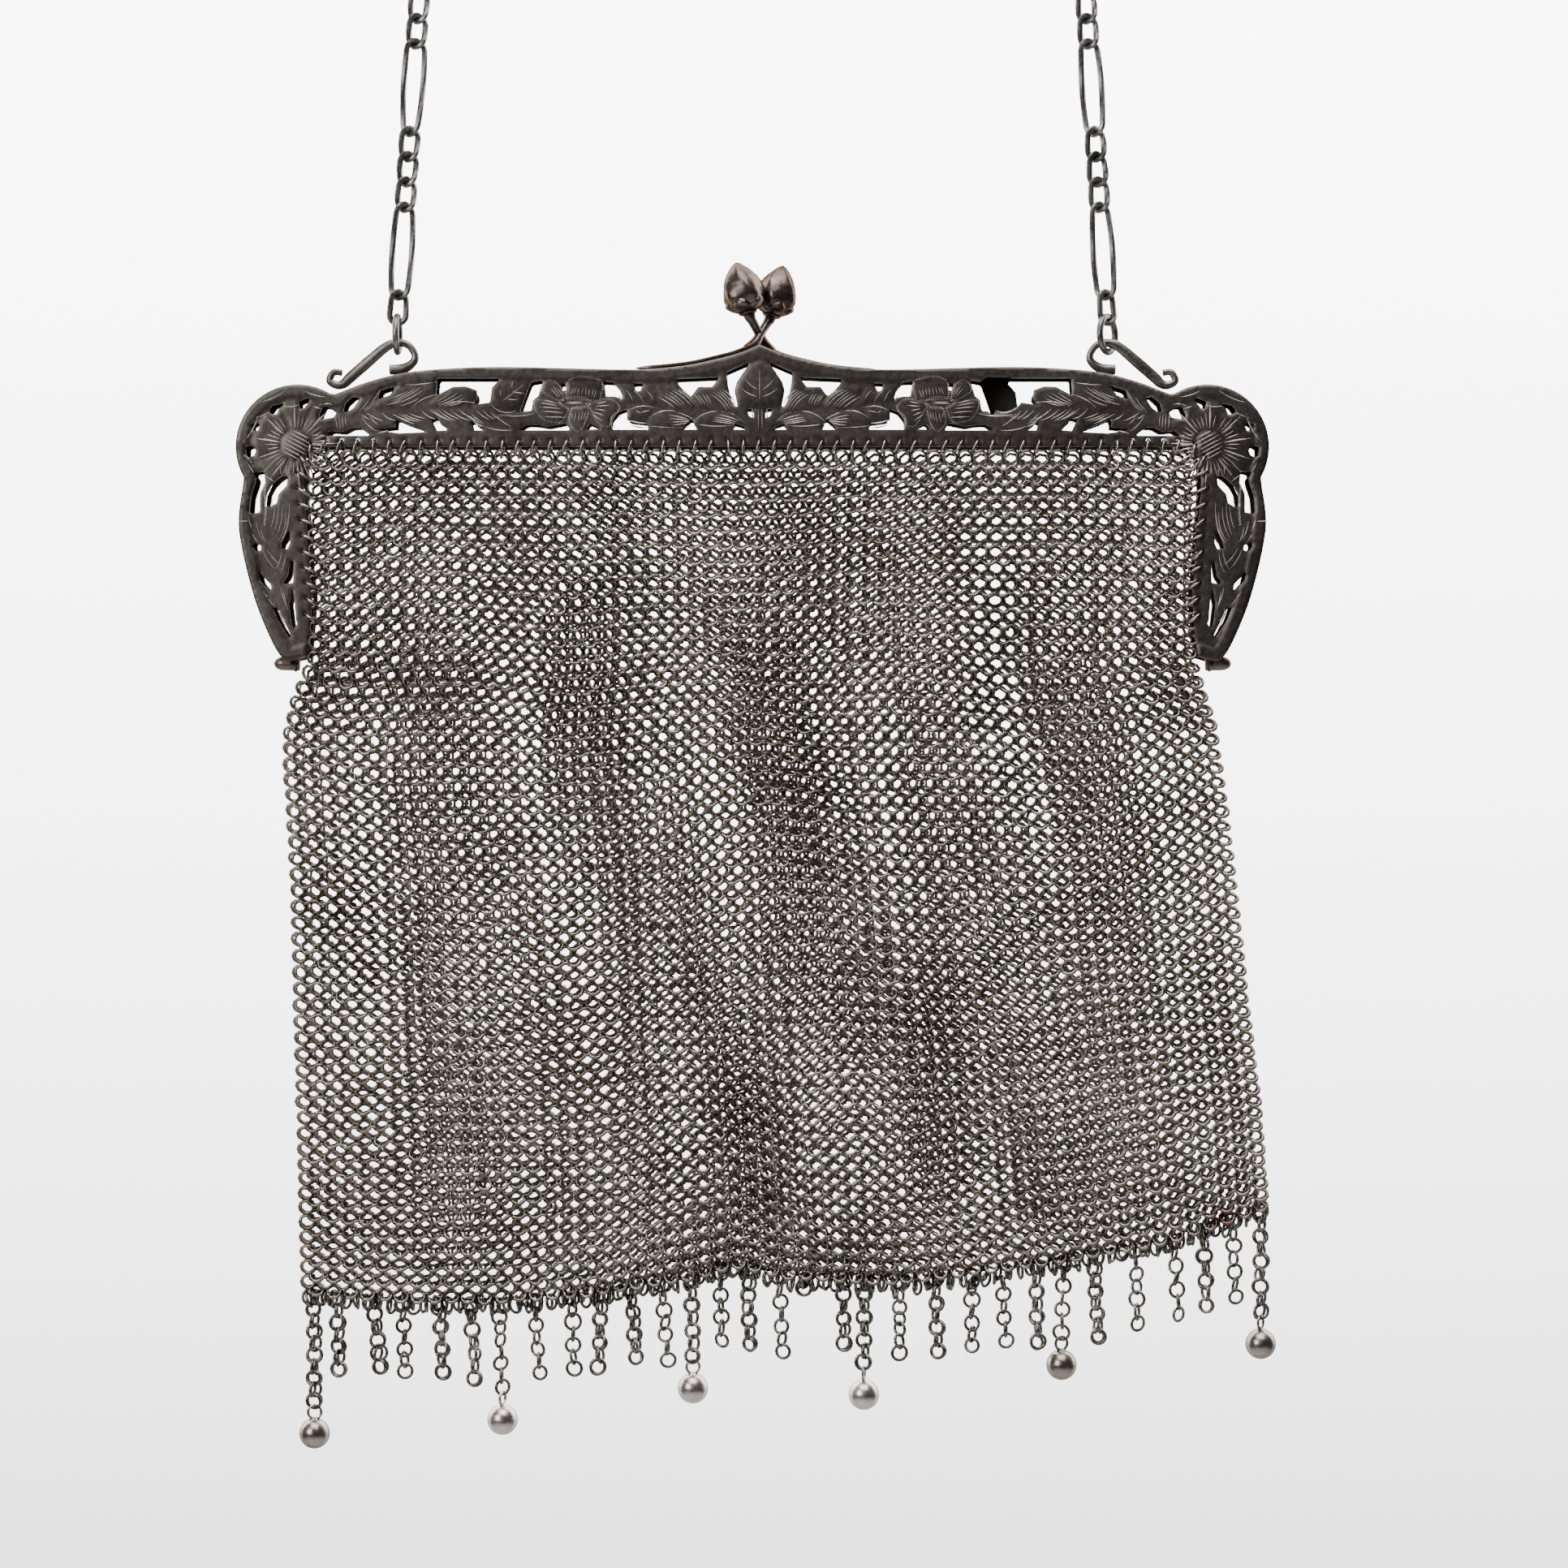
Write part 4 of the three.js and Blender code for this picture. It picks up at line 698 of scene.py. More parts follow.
def lathe_mesh(radius, height, sides, shape=None):
    """A turned form about the upright: rings of the given radii and heights, which a shape may
    vary by angle and height."""
    angle = 2 * np.pi * np.arange(sides) / sides
    reach = np.broadcast_to(np.asarray(radius)[:, None], (len(radius), sides))
    if shape is not None:
        reach = reach * shape(angle[None], np.linspace(0, 1, len(radius))[:, None])
    level = np.asarray(height)[:, None] + 0 * reach
    rings = np.stack([reach * np.cos(angle), reach * np.sin(angle), level], axis=-1)
    return rings.reshape(-1, 3), tube_faces(len(radius), sides)


def joined(parts):
    """Several meshes as one: their points, and their faces renumbered."""
    points, faces, count = [], [], 0
    for part_points, part_faces in parts:
        points.append(part_points)
        faces += [face + count for face in part_faces]
        count += len(part_points)
    return np.vstack(points), faces


def bud_shape(angle, t):
    """A bud with five soft facets, its petals rolled over one another towards the tip."""
    rolled = ((angle + 1.1 * t) / (2 * np.pi / 5)) % 1.0
    return 1 + 0.05 * (rolled - 0.5) * np.clip(3 * t, 0, 1) + 0.045 * np.cos(5 * (angle + 1.1 * t))


def sepal_shape(angle, t):
    """Five pointed sepals that hug the bud: between their points they lie inside it."""
    return 1.03 - 0.3 * np.clip(t * 1.6 - np.abs(np.cos(2.5 * angle)), 0, 1)


def leaning(points, lean, foot):
    """Points turned from the upright to the right by an angle and moved to a foot."""
    angle = math.radians(lean)
    x = points[:, 0] * math.cos(angle) + points[:, 2] * math.sin(angle)
    z = points[:, 2] * math.cos(angle) - points[:, 0] * math.sin(angle)
    return np.column_stack([x, points[:, 1], z]) + foot


def clasp_half():
    """Strip, stem, collar, sepals and bud of the half whose strip lies on the left."""
    strip_line = right_of(smooth_line(TOP_EDGE * (-1, 1), 6)[::-1], -0.4)
    strip_line = strip_line[(strip_line[:, 0] > -20.6) & (strip_line[:, 0] < -0.4)]
    share = np.linspace(0, 1, len(strip_line))
    strip_path = np.column_stack([strip_line[:, 0], np.full(len(share), -2.1), strip_line[:, 1]])
    blunt = np.sqrt(np.clip(share / 0.06, 0.04, 1))
    strip = wire_mesh(strip_path, (0.44 + 0.25 * share**6) * blunt, 1.4 * blunt, 10)
    end = strip_path[-1]
    stem_path = np.array([
        end + (-1.2, 0.2, -0.7), (-0.7, -0.9, 17.6), (0.05, 0, 19.0), (0.9, 0.9, 20.5),
        (1.6, 1.6, 21.7), BUD_FOOT + (0.3, 0, 1.2),
    ])
    stem_line = smooth_line(stem_path, 6)
    stem_share = np.linspace(0, 1, len(stem_line))
    thick = np.interp(stem_share, [0, 0.25, 0.5, 0.7, 0.8, 1], [1.0, 0.9, 0.74, 0.78, 0.95, 1.1])
    stem = wire_mesh(stem_line, thick, thick, 14)
    t = np.linspace(0, 1, 26)
    profile = np.interp(
        t, [0, 0.06, 0.15, 0.3, 0.45, 0.6, 0.75, 0.88, 0.96, 1],
        [0.42, 0.62, 0.86, 1, 0.97, 0.86, 0.66, 0.4, 0.2, 0.03],
    )
    bud = lathe_mesh(BUD_RADIUS * profile, 0.5 + (BUD_HEIGHT - 0.5) * t, 40, bud_shape)
    collar_t = np.linspace(0, 1, 9)
    collar = lathe_mesh(1.05 + 0.55 * np.sin(np.pi * collar_t), -0.1 + 0.8 * collar_t, 20)
    sepal_t = np.linspace(0, 1, 10)
    sepal_out = BUD_RADIUS * np.interp(sepal_t, [0, 0.2, 0.5, 1], [0.46, 0.72, 0.95, 1.05])
    sepal = lathe_mesh(sepal_out, 0.45 + 2.4 * sepal_t, 40, sepal_shape)
    tops = [leaning(part[0], CLASP_LEAN, BUD_FOOT) for part in (bud, collar, sepal)]
    tops = list(zip(tops, (bud[1], collar[1], sepal[1])))
    return joined([strip, stem, *tops])


for node in ("clasp_front", "clasp_back"):
    points, faces = clasp_half()
    if node == "clasp_back":
        points = half_turn(points)
    clasp = add_piece(f"{node}_metal", shifted(points), faces, clasp_metal)
    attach(clasp, "root")
    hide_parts(node)


# The hinges. Each is a short knuckle across the tips of the two arms, domed at its outer end,
# with a fine collar near its mouth.
HINGE_DIAMETER = 2.7
HINGE_MOUTH = -75.4
HINGE_END = -79.8
HINGE_HEIGHT = -35.84
hinge_metal = silver("hinge_silver", (0.07, 0.052, 0.04), (0.2, 0.165, 0.135), 0.4)


def box_mesh(low, high):
    """A plain block between two corners."""
    x, y, z = np.meshgrid(*zip(low, high), indexing="ij")
    points = np.column_stack([x.ravel(), y.ravel(), z.ravel()])
    faces = [(0, 1, 3, 2), (4, 6, 7, 5), (0, 4, 5, 1), (2, 3, 7, 6), (0, 2, 6, 4), (1, 5, 7, 3)]
    return points, [np.array(faces)]


for node, side in (("hinge_left", 1), ("hinge_right", -1)):
    t = np.array([0, 0.02, 0.1, 0.13, 0.2, 0.24, 0.6, 0.75, 0.87, 0.95, 1.0])
    reach = np.array([0.3, 0.86, 0.88, 1.0, 1.0, 0.88, 0.86, 0.82, 0.66, 0.4, 0.04])
    points, faces = lathe_mesh(HINGE_DIAMETER / 2 * reach, t * (HINGE_MOUTH - HINGE_END), 24)
    points = np.column_stack([HINGE_MOUTH - points[:, 2], points[:, 1], HINGE_HEIGHT + points[:, 0]])
    lug_low = (HINGE_MOUTH - 2.6, -2.9, HINGE_HEIGHT - 0.2)
    lug_high = (HINGE_MOUTH - 1.2, 2.9, HINGE_HEIGHT + 1.0)
    points, faces = joined([(points, faces), box_mesh(lug_low, lug_high)])
    hinge = add_piece(f"{node}_metal", half_turn(points) if side < 0 else points, faces, hinge_metal)
    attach(hinge, "root")
    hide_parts(node)


# The chain's hooks. A wire is soldered to the top flange, rises in a tight bend over a round
# crest, runs down outwards, hammered flat on the way, and ends in a small open curl.
HOOK_ROUTE = np.array([
    (-60.3, 12.9), (-57.9, 13.1), (-56.3, 14.2), (-56.1, 15.5), (-57.2, 17.0),
    (-58.97, 17.37), (-60.89, 16.67), (-64.09, 13.98), (-66.71, 11.68), (-67.87, 10.59),
    (-69.08, 10.33), (-70.23, 11.1), (-69.53, 12.45), (-68.12, 12.38),
])
# Half the wire's width and half its thickness at each place of the route
HOOK_FLAT = [0.85, 0.84, 0.68, 0.6, 0.6, 0.7, 0.84, 0.94, 0.92, 0.8, 0.66, 0.6, 0.58, 0.54]
HOOK_DEEP = [0.5, 0.6, 0.6, 0.6, 0.6, 0.6, 0.56, 0.42, 0.45, 0.5, 0.5, 0.45, 0.4, 0.36]
CHAIN_DEPTH = -ORIGIN[1] / MM
hook_metal = silver("hook_silver", (0.075, 0.066, 0.058), (0.24, 0.22, 0.2), 0.36, patch=160)

route = smooth_line(HOOK_ROUTE, 6)
share = np.linspace(0, 1, len(route))
knots = np.linspace(0, 1, len(HOOK_ROUTE))
hook_path = np.column_stack([route[:, 0], np.full(len(route), CHAIN_DEPTH), route[:, 1]])
flat, deep = np.interp(share, knots, HOOK_FLAT), np.interp(share, knots, HOOK_DEEP)
for node, side in (("chain_hook_left", 1), ("chain_hook_right", -1)):
    points, faces = wire_mesh(hook_path, flat, deep, 12)
    if side < 0:
        points = points * (-1, 1, 1)
        faces = [face[:, ::-1] for face in faces]
    hook = add_piece(f"{node}_metal", points, faces, hook_metal)
    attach(hook, "root")
    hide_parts(node)


# The jump rings. Each round wire ring joins a hook to the end of the chain.
JUMP_RADIUS = 2.93
JUMP_WIRE = 1.15
JUMP_HEIGHT = 18.78
CHAIN_HALF_SPAN = 58.97
chain_metal = silver("chain_silver", (0.06, 0.056, 0.052), (0.22, 0.21, 0.198), 0.36, patch=120)


def ring_array(centres, across, up, radius, wire, segments, sides):
    """A ring round each centre, in the plane of its across and up: a section of wire carried
    round at centre + radius (cos f across + sin f up), all by arrays."""
    round_by = 2 * np.pi * np.arange(segments) / segments
    section = 2 * np.pi * np.arange(sides) / sides
    axis = np.cross(across, up)
    f, g = round_by[None, :, None, None], section[None, None, :, None]
    radius = np.broadcast_to(radius, len(centres))[:, None, None, None]
    spoke = np.cos(f) * across[:, None, None] + np.sin(f) * up[:, None, None]
    points = centres[:, None, None] + (radius + wire / 2 * np.cos(g)) * spoke
    points = points + wire / 2 * np.sin(g) * axis[:, None, None]
    i, j = np.meshgrid(np.arange(segments), np.arange(sides), indexing="ij")
    after, beside = (i + 1) % segments, (j + 1) % sides
    one = np.stack([i * sides + j, after * sides + j, after * sides + beside, i * sides + beside], axis=-1)
    faces = one.reshape(1, -1, 4) + (np.arange(len(centres)) * segments * sides)[:, None, None]
    return points.reshape(-1, 3), [faces.reshape(-1, 4)]


for node, side, yaw in (("jump_ring_left", -1, 90), ("jump_ring_right", 1, 60)):
    turn = math.radians(yaw)
    across = np.array([[side * math.cos(turn), math.sin(turn), 0]])
    centre = np.array([[side * CHAIN_HALF_SPAN, CHAIN_DEPTH, JUMP_HEIGHT]])
    points, faces = ring_array(centre, across, np.array([[0, 0, 1.0]]), JUMP_RADIUS, JUMP_WIRE, 40, 12)
    ring = add_piece(f"{node}_metal", points, faces, chain_metal)
    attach(ring, "root")
    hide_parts(node)


# The chain. Three short links follow each long one; all are twisted a quarter turn, so they nest
# flat. It leaves the left ring, leans in a little, hangs over in a plain arch and comes down.
CHAIN_WIRE = 1.05
SHORT_LINK = (6.3, 3.75)
LONG_LINK = (16.7, 4.3)
LINK_OVERLAP = 2 * CHAIN_WIRE
LONG_COUNT = 11
SHORT_BETWEEN = 3
CHAIN_LEAN = 3.86
LINK_SIDES = 8


def link_mesh(length, width, from_twist, to_twist):
    """One link along the upright: a wire on a stadium of that size, turned about the upright by
    an angle that grows from one end to the other."""
    radius = (width - CHAIN_WIRE) / 2
    straight = (length - width) / 2
    arch = np.linspace(0, np.pi, 9)
    rise = np.linspace(-straight, straight, 6 if straight > 3 else 3)[1:-1]
    spine = np.vstack([
        np.column_stack([radius * np.cos(arch), straight + radius * np.sin(arch)]),
        np.column_stack([np.full(len(rise), -radius), rise[::-1]]),
        np.column_stack([-radius * np.cos(arch), -straight - radius * np.sin(arch)]),
        np.column_stack([np.full(len(rise), radius), rise]),
    ])
    out = np.vstack([
        np.column_stack([np.cos(arch), np.sin(arch)]),
        np.column_stack([np.full(len(rise), -1.0), 0 * rise]),
        np.column_stack([-np.cos(arch), -np.sin(arch)]),
        np.column_stack([np.full(len(rise), 1.0), 0 * rise]),
    ])
    section = 2 * np.pi * np.arange(LINK_SIDES) / LINK_SIDES
    flat = spine[:, None] + CHAIN_WIRE / 2 * np.cos(section)[None, :, None] * out[:, None]
    deep = np.broadcast_to(CHAIN_WIRE / 2 * np.sin(section), flat.shape[:2])
    twist = np.radians(from_twist + (to_twist - from_twist) * (flat[..., 1] / length + 0.5))
    x = flat[..., 0] * np.cos(twist) - deep * np.sin(twist)
    y = flat[..., 0] * np.sin(twist) + deep * np.cos(twist)
    points = np.stack([x, y, flat[..., 1]], axis=-1).reshape(-1, 3)
    i, j = np.meshgrid(np.arange(len(spine)), np.arange(LINK_SIDES), indexing="ij")
    here, after = i * LINK_SIDES, (i + 1) % len(spine) * LINK_SIDES
    beside = (j + 1) % LINK_SIDES
    faces = np.stack([here + j, here + beside, after + beside, after + j], axis=-1)
    return points, [faces.reshape(-1, 4)]


def chain_places(total, half_span):
    """Where the chain is after any run of it: up a leaning strand, over an arch of the radius
    that makes the length fit, and down the other side."""
    lean = math.radians(CHAIN_LEAN)
    sweep = math.pi - 2 * lean
    strand = (total - half_span * sweep / math.cos(lean)) / (2 - sweep * math.tan(lean))
    arch = (half_span - strand * math.sin(lean)) / math.cos(lean)
    start = JUMP_HEIGHT + JUMP_RADIUS - JUMP_WIRE / 2
    middle = start + strand * math.cos(lean) - arch * math.sin(lean)

    def place(run):
        from_end = min(run, total - run)
        side = -1 if run < total / 2 else 1
        if from_end < strand:
            aside = half_span - from_end * math.sin(lean)
            return np.array([side * aside, 0, start + from_end * math.cos(lean)])
        turn = lean + (from_end - strand) / arch
        return np.array([side * arch * math.cos(turn), 0, middle + arch * math.sin(turn)])

    return place


links = [SHORT_LINK]
for i in range(LONG_COUNT):
    links += [LONG_LINK] + [SHORT_LINK] * (SHORT_BETWEEN if i < LONG_COUNT - 1 else 1)
reaches = [link[0] - LINK_OVERLAP for link in links]
place = chain_places(sum(reaches), CHAIN_HALF_SPAN)
rng = np.random.default_rng(11)
parts = []
for i, (link, run) in enumerate(zip(links, np.cumsum([0, *reaches]))):
    start, end = place(run), place(run + reaches[i])
    way = (end - start) / np.linalg.norm(end - start)
    # The end links' outer ends stand square to the jump rings
    twist = (0 if i == 0 else -45, -30 if i == len(links) - 1 else 45)
    sway = rng.normal(0, 5)
    points, faces = link_mesh(*link, twist[0] + sway, twist[1] + sway)
    basis = np.array([(way[2], 0, -way[0]), (0, 1, 0), way])
    parts.append((points @ basis + (start + end) / 2 + (0, CHAIN_DEPTH, 0), faces))
points, faces = joined(parts)
chain = add_piece("chain_metal", points, faces, chain_metal)
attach(chain, "root")
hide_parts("chain")


# The ring mesh. Each side of the bag is a sheet of small wire rings, each linked through four
# others: rows lie half a ring apart and lean to and fro in turn. The sheets hang from the frame
# halves in soft upright folds, meet at their sides below the hinges and close at the hem.
RING_RADIUS = 1.15
RING_WIRE = 0.66
ROW_LEANS = (20, -42)
COLUMNS = 57
ROWS = 108
BAG_DROP = 139.8
BAG_DEPTH = 5.2
ARM_FOOT = -34
# How far the left and the right side stand out from the middle, at shares of the way down
SIDE_TABLE = np.array([
    (0, 73.4, 73.4), (0.026, 73.8, 73.8), (0.12, 73.8, 73.8), (0.24, 73.8, 73.8), (0.262, 74.6, 74.4),
    (0.29, 76.4, 75.6), (0.33, 77.9, 77.3), (0.37, 78.2, 78.0), (0.5, 77.0, 80.2), (0.66, 76.4, 82.3),
    (0.83, 75.7, 84.7), (1, 75.2, 86.0),
])
# How far a sheet stands from the middle plane in its middle and at its sides, as shares of the
# bag's depth, at shares of the way down
DEPTH_TABLE = np.array([
    (0, 0.69, 0.69), (0.026, 0.72, 0.69), (0.12, 0.85, 0.69), (0.24, 1, 0.6), (0.3, 1, 0.42),
    (0.37, 0.98, 0.3), (0.5, 0.94, 0.26), (0.66, 0.88, 0.24), (0.83, 0.72, 0.22), (0.94, 0.45, 0.2),
    (1, 0.16, 0.16),
])
# How far down the hem hangs, as shares of the bag's drop, at shares of the way across
HEM_TABLE = np.array([
    (0, 1.0), (0.1, 1.008), (0.2, 1.01), (0.3, 1.0), (0.4, 0.981), (0.45, 0.966), (0.5, 0.979),
    (0.61, 0.986), (0.7, 0.975), (0.78, 0.962), (0.9, 0.937), (1, 0.897),
])
opening_area = np.vstack([opening_edge, (opening_edge[-1, 0], -60), (opening_edge[0, 0], -60)])
STAIN_PLACE = (78.4, 0, -128.6)
mesh_metal = silver(
    "mesh_silver", (0.068, 0.056, 0.046), (0.24, 0.213, 0.186), 0.3, patch=55, patina=(0.3, 0.6),
    stain=STAIN_PLACE,
)


def fold(across, down, side):
    """How far a sheet stands back at a share across and down: a few upright waves that drift
    sideways on the way down, none at the frame, at the sides or at the hem."""
    wave = (
        1.5 * np.sin(2 * np.pi * (4.5 * across + 0.35 * down + 0.2 * side))
        + 1.0 * np.sin(2 * np.pi * (8.3 * across - 0.5 * down + 0.37 * side + 0.1))
        + 0.5 * np.sin(2 * np.pi * (2.2 * across + 1.4 * down + 0.6 * side))
    )
    free = np.clip(5 * down, 0, 1) * np.clip(9 * (1 - down), 0.1, 1)
    return wave * free * (1 - np.abs(2 * across - 1) ** 4)


def sheet_places(columns, rows, side):
    """Ring places of one sheet and the ways across and down it there: columns an even run apart
    along each folded row, rows an even drop apart, bent to the hem and slightly wavy."""
    fine = np.linspace(0, 1, 500)
    down = (np.arange(rows) + 0.6) / (rows + 0.2)
    left = -np.interp(down, SIDE_TABLE[:, 0], SIDE_TABLE[:, 1]) + RING_RADIUS
    right = np.interp(down, SIDE_TABLE[:, 0], SIDE_TABLE[:, 2]) - RING_RADIUS
    depth = fold(fine[None], down[:, None], side)
    width = (right - left)[:, None]
    run = np.hypot(np.diff(depth, axis=1), width / 499)
    run = np.concatenate([np.zeros((rows, 1)), np.cumsum(run, axis=1)], axis=1)
    run /= run[:, -1:]
    shift = np.where(np.arange(rows) % 2, 0.5, 0.0)
    at = (np.arange(columns)[None] + 0.25 + shift[:, None]) / columns
    across = np.stack([np.interp(row_at, row_run, fine) for row_at, row_run in zip(at, run)])
    down = np.broadcast_to(down[:, None], across.shape)
    return across, down


def sheet_point(across, down, side):
    """The point of a sheet at a share across and down: x from side to side, y its standing
    distance and its fold, z the drop to the hem with slight waves."""
    left = -np.interp(down, SIDE_TABLE[:, 0], SIDE_TABLE[:, 1]) + 0.6
    right = np.interp(down, SIDE_TABLE[:, 0], SIDE_TABLE[:, 2]) - 0.6
    middle = np.interp(down, DEPTH_TABLE[:, 0], DEPTH_TABLE[:, 1])
    edge = np.interp(down, DEPTH_TABLE[:, 0], DEPTH_TABLE[:, 2])
    standing = BAG_DEPTH * (middle + (edge - middle) * np.abs(2 * across - 1) ** 5)
    hem = 1 + (np.interp(across, HEM_TABLE[:, 0], HEM_TABLE[:, 1]) - 1) * down**2
    wavy = 0.7 * np.sin(2 * np.pi * (1.7 * across + 0.9 * down))
    wavy = wavy + 0.5 * np.sin(2 * np.pi * (3.9 * across - 1.6 * down))
    wavy = wavy * np.clip(4 * down, 0, 1) * np.clip(6 * (1 - down), 0, 1)
    return np.stack([
        left + (right - left) * across,
        side * standing + fold(across, down, side),
        -1.0 - BAG_DROP * down * hem + wavy,
    ], axis=-1)


def unit(vectors):
    """Each vector at length one."""
    return vectors / np.linalg.norm(vectors, axis=-1, keepdims=True)


def rings_on_sheet(columns, rows, side, rng):
    """Centres and planes of a sheet's rings: each leans about its row, rows to and fro in turn,
    and lies a little out of true."""
    across, down = sheet_places(columns, rows, side)
    row = np.broadcast_to(np.arange(rows)[:, None], across.shape).ravel()
    across, down = across.ravel(), down.ravel()
    centre = sheet_point(across, down, side)
    step = 0.004
    over = unit(sheet_point(across + step, down, side) - sheet_point(across - step, down, side))
    below = unit(sheet_point(across, down + step, side) - sheet_point(across, down - step, side))
    out = unit(np.cross(over, below)) * -side
    below = unit(np.cross(out, over)) * np.sign((np.cross(out, over) * below).sum(-1, keepdims=True))
    lean = np.radians(np.where(row % 2, ROW_LEANS[1], ROW_LEANS[0]) + rng.normal(0, 5, len(row)))
    yaw = np.radians(rng.normal(0, 5, len(row)))
    a = unit(np.cos(yaw)[:, None] * over + np.sin(yaw)[:, None] * out)
    normal = np.cross(a, below)
    b = unit(np.cos(lean)[:, None] * below + np.sin(lean)[:, None] * normal)
    b = unit(b - (a * b).sum(-1, keepdims=True) * a)
    centre = centre + rng.normal(0, 0.05, centre.shape)
    to_metal = polygon_field(centre[:, 0], centre[:, 2], opening_area)
    inside = (centre[:, 2] < ARM_FOOT) | (to_metal < -0.35)
    return centre[inside], a[inside], b[inside]


rng = np.random.default_rng(5)
for name, side, columns, segments in (("mesh_front", -1, COLUMNS, 10), ("mesh_back", 1, COLUMNS + 1, 7)):
    centre, a, b = rings_on_sheet(columns, ROWS, side, rng)
    order = np.argsort(-centre[:, 2], kind="stable")
    half = len(order) // 2
    for part, chosen in (("upper", order[:half]), ("lower", order[half:])):
        size = RING_RADIUS * rng.normal(1, 0.02, len(chosen))
        points, faces = ring_array(centre[chosen], a[chosen], b[chosen], size, RING_WIRE, segments, 3)
        sheet = add_piece(f"{name}_{part}", points, faces, mesh_metal, edge=180)
        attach(sheet, "root")
        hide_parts("mesh_bag")


# The stitches. A bent wire goes through each hole of the frame and round the first rings of the
# mesh, so the front shows one short slanted stroke at each hole.
STITCH_RADIUS = 1.25
STITCH_WIRE = 0.5
BAND_END = 72
stitch_metal = silver("stitch_silver", (0.2, 0.165, 0.135), (0.46, 0.41, 0.35), 0.28, patch=200)

parts = []
for side in (-1, 1):
    place = holes if side < 0 else holes * mirror
    inward = np.column_stack([-hole_ways[:, 1], hole_ways[:, 0]])
    inward = inward if side < 0 else inward * mirror
    toward = np.sign(place[:, 0])
    on_band = np.abs(place[:, 0]) < BAND_END
    slant = np.radians(np.where(on_band, 4 * side * toward - 18, 30 * toward))
    slant = slant + rng.normal(0, 0.12, len(slant))
    way = np.column_stack([
        inward[:, 0] * np.cos(slant) - inward[:, 1] * np.sin(slant),
        inward[:, 0] * np.sin(slant) + inward[:, 1] * np.cos(slant),
    ])
    down = np.column_stack([way[:, 0], 0 * slant, way[:, 1]])
    centre = np.column_stack([place[:, 0], np.full(len(place), side * 3.6), place[:, 1]])
    centre = centre + down * STITCH_RADIUS * 0.92
    back = np.column_stack([0 * slant, 0 * slant + 1, 0 * slant])
    parts.append(ring_array(centre, down, back, STITCH_RADIUS, STITCH_WIRE, 14, 5))
points, faces = joined(parts)
stitches = add_piece("stitches", shifted(points), faces, stitch_metal, edge=180)
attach(stitches, "root")


# The fringe. Short chains of the same rings hang from the hem, single or in pairs, each turned
# against the last; every sixth one is longer and carries a hollow ball by its soldered eye.
# Where the strands hang and where the balls' middles are, in the photo's pixels
STRAND_PIXELS = [
    383, 412, 457, 494, 540, 578, 612, 657, 703, 740, 776, 814, 851, 887, 922, 960, 991, 1040,
    1066, 1110, 1153, 1198, 1237, 1278, 1313, 1349, 1402, 1450, 1486, 1522, 1557,
]
SHORT_STRAND_PIXEL = 991
BALL_CENTRES = np.array([(384, 1771), (617, 1754), (853, 1715), (1065, 1723), (1310, 1686), (1557, 1660)])
STRAND_RINGS = 7
STRAND_PITCH = 1.97
BALL_RADIUS = 2.55
EYE_RADIUS = 1.1
EYE_WIRE = 0.5
FRINGE_RADIUS = 1.2
FRINGE_WIRE = 0.56
fringe_metal = silver("fringe_silver", (0.055, 0.048, 0.042), (0.19, 0.175, 0.16), 0.3, patch=80)

rng = np.random.default_rng(23)
hem_share = np.linspace(0, 1, 200)
hem_line = sheet_point(hem_share, np.ones(200), -1)
ball_x = (BALL_CENTRES[:, 0] - FRAME_MIDDLE_PIXEL) * MM_PER_PIXEL
ball_z = (BAR_EDGE_PIXEL - BALL_CENTRES[:, 1]) * MM_PER_PIXEL
eye_z = ball_z + BALL_RADIUS + EYE_RADIUS - 0.1
rings = []
for i, pixel in enumerate(STRAND_PIXELS):
    x = (pixel - FRAME_MIDDLE_PIXEL) * MM_PER_PIXEL
    top = np.interp(x, hem_line[:, 0], hem_line[:, 2]) - 0.5
    end_x = x + rng.normal(0.5, 0.5)
    end_z = top - STRAND_PITCH * (STRAND_RINGS - 1 + rng.normal(0, 0.35))
    doubled = rng.random() < 0.55
    if i % 6 == 0:
        end_x, end_z = ball_x[i // 6], eye_z[i // 6] + EYE_RADIUS + FRINGE_RADIUS - 0.46
    elif pixel == SHORT_STRAND_PIXEL:
        end_z = top - 1.4
    count = max(2, round((top - end_z) / STRAND_PITCH) + 1)
    share = np.linspace(0, 1, count)
    open_yaw = rng.normal(0, 18, count)
    edge_yaw = rng.normal(78, 14, count)
    yaw = np.where(np.arange(count) % 2 == (count - 1) % 2, open_yaw, edge_yaw)
    for offset in ((-0.24, 0.24) if doubled else (0,)):
        twist = np.radians(yaw + offset * 60 + rng.normal(0, 7, count))
        out = np.column_stack([-np.sin(twist), np.cos(twist), 0 * twist])
        centre = np.column_stack([x + (end_x - x) * share, 0 * share, top + (end_z - top) * share])
        rings.append(np.hstack([centre + offset * out + rng.normal(0, 0.06, centre.shape), twist[:, None]]))
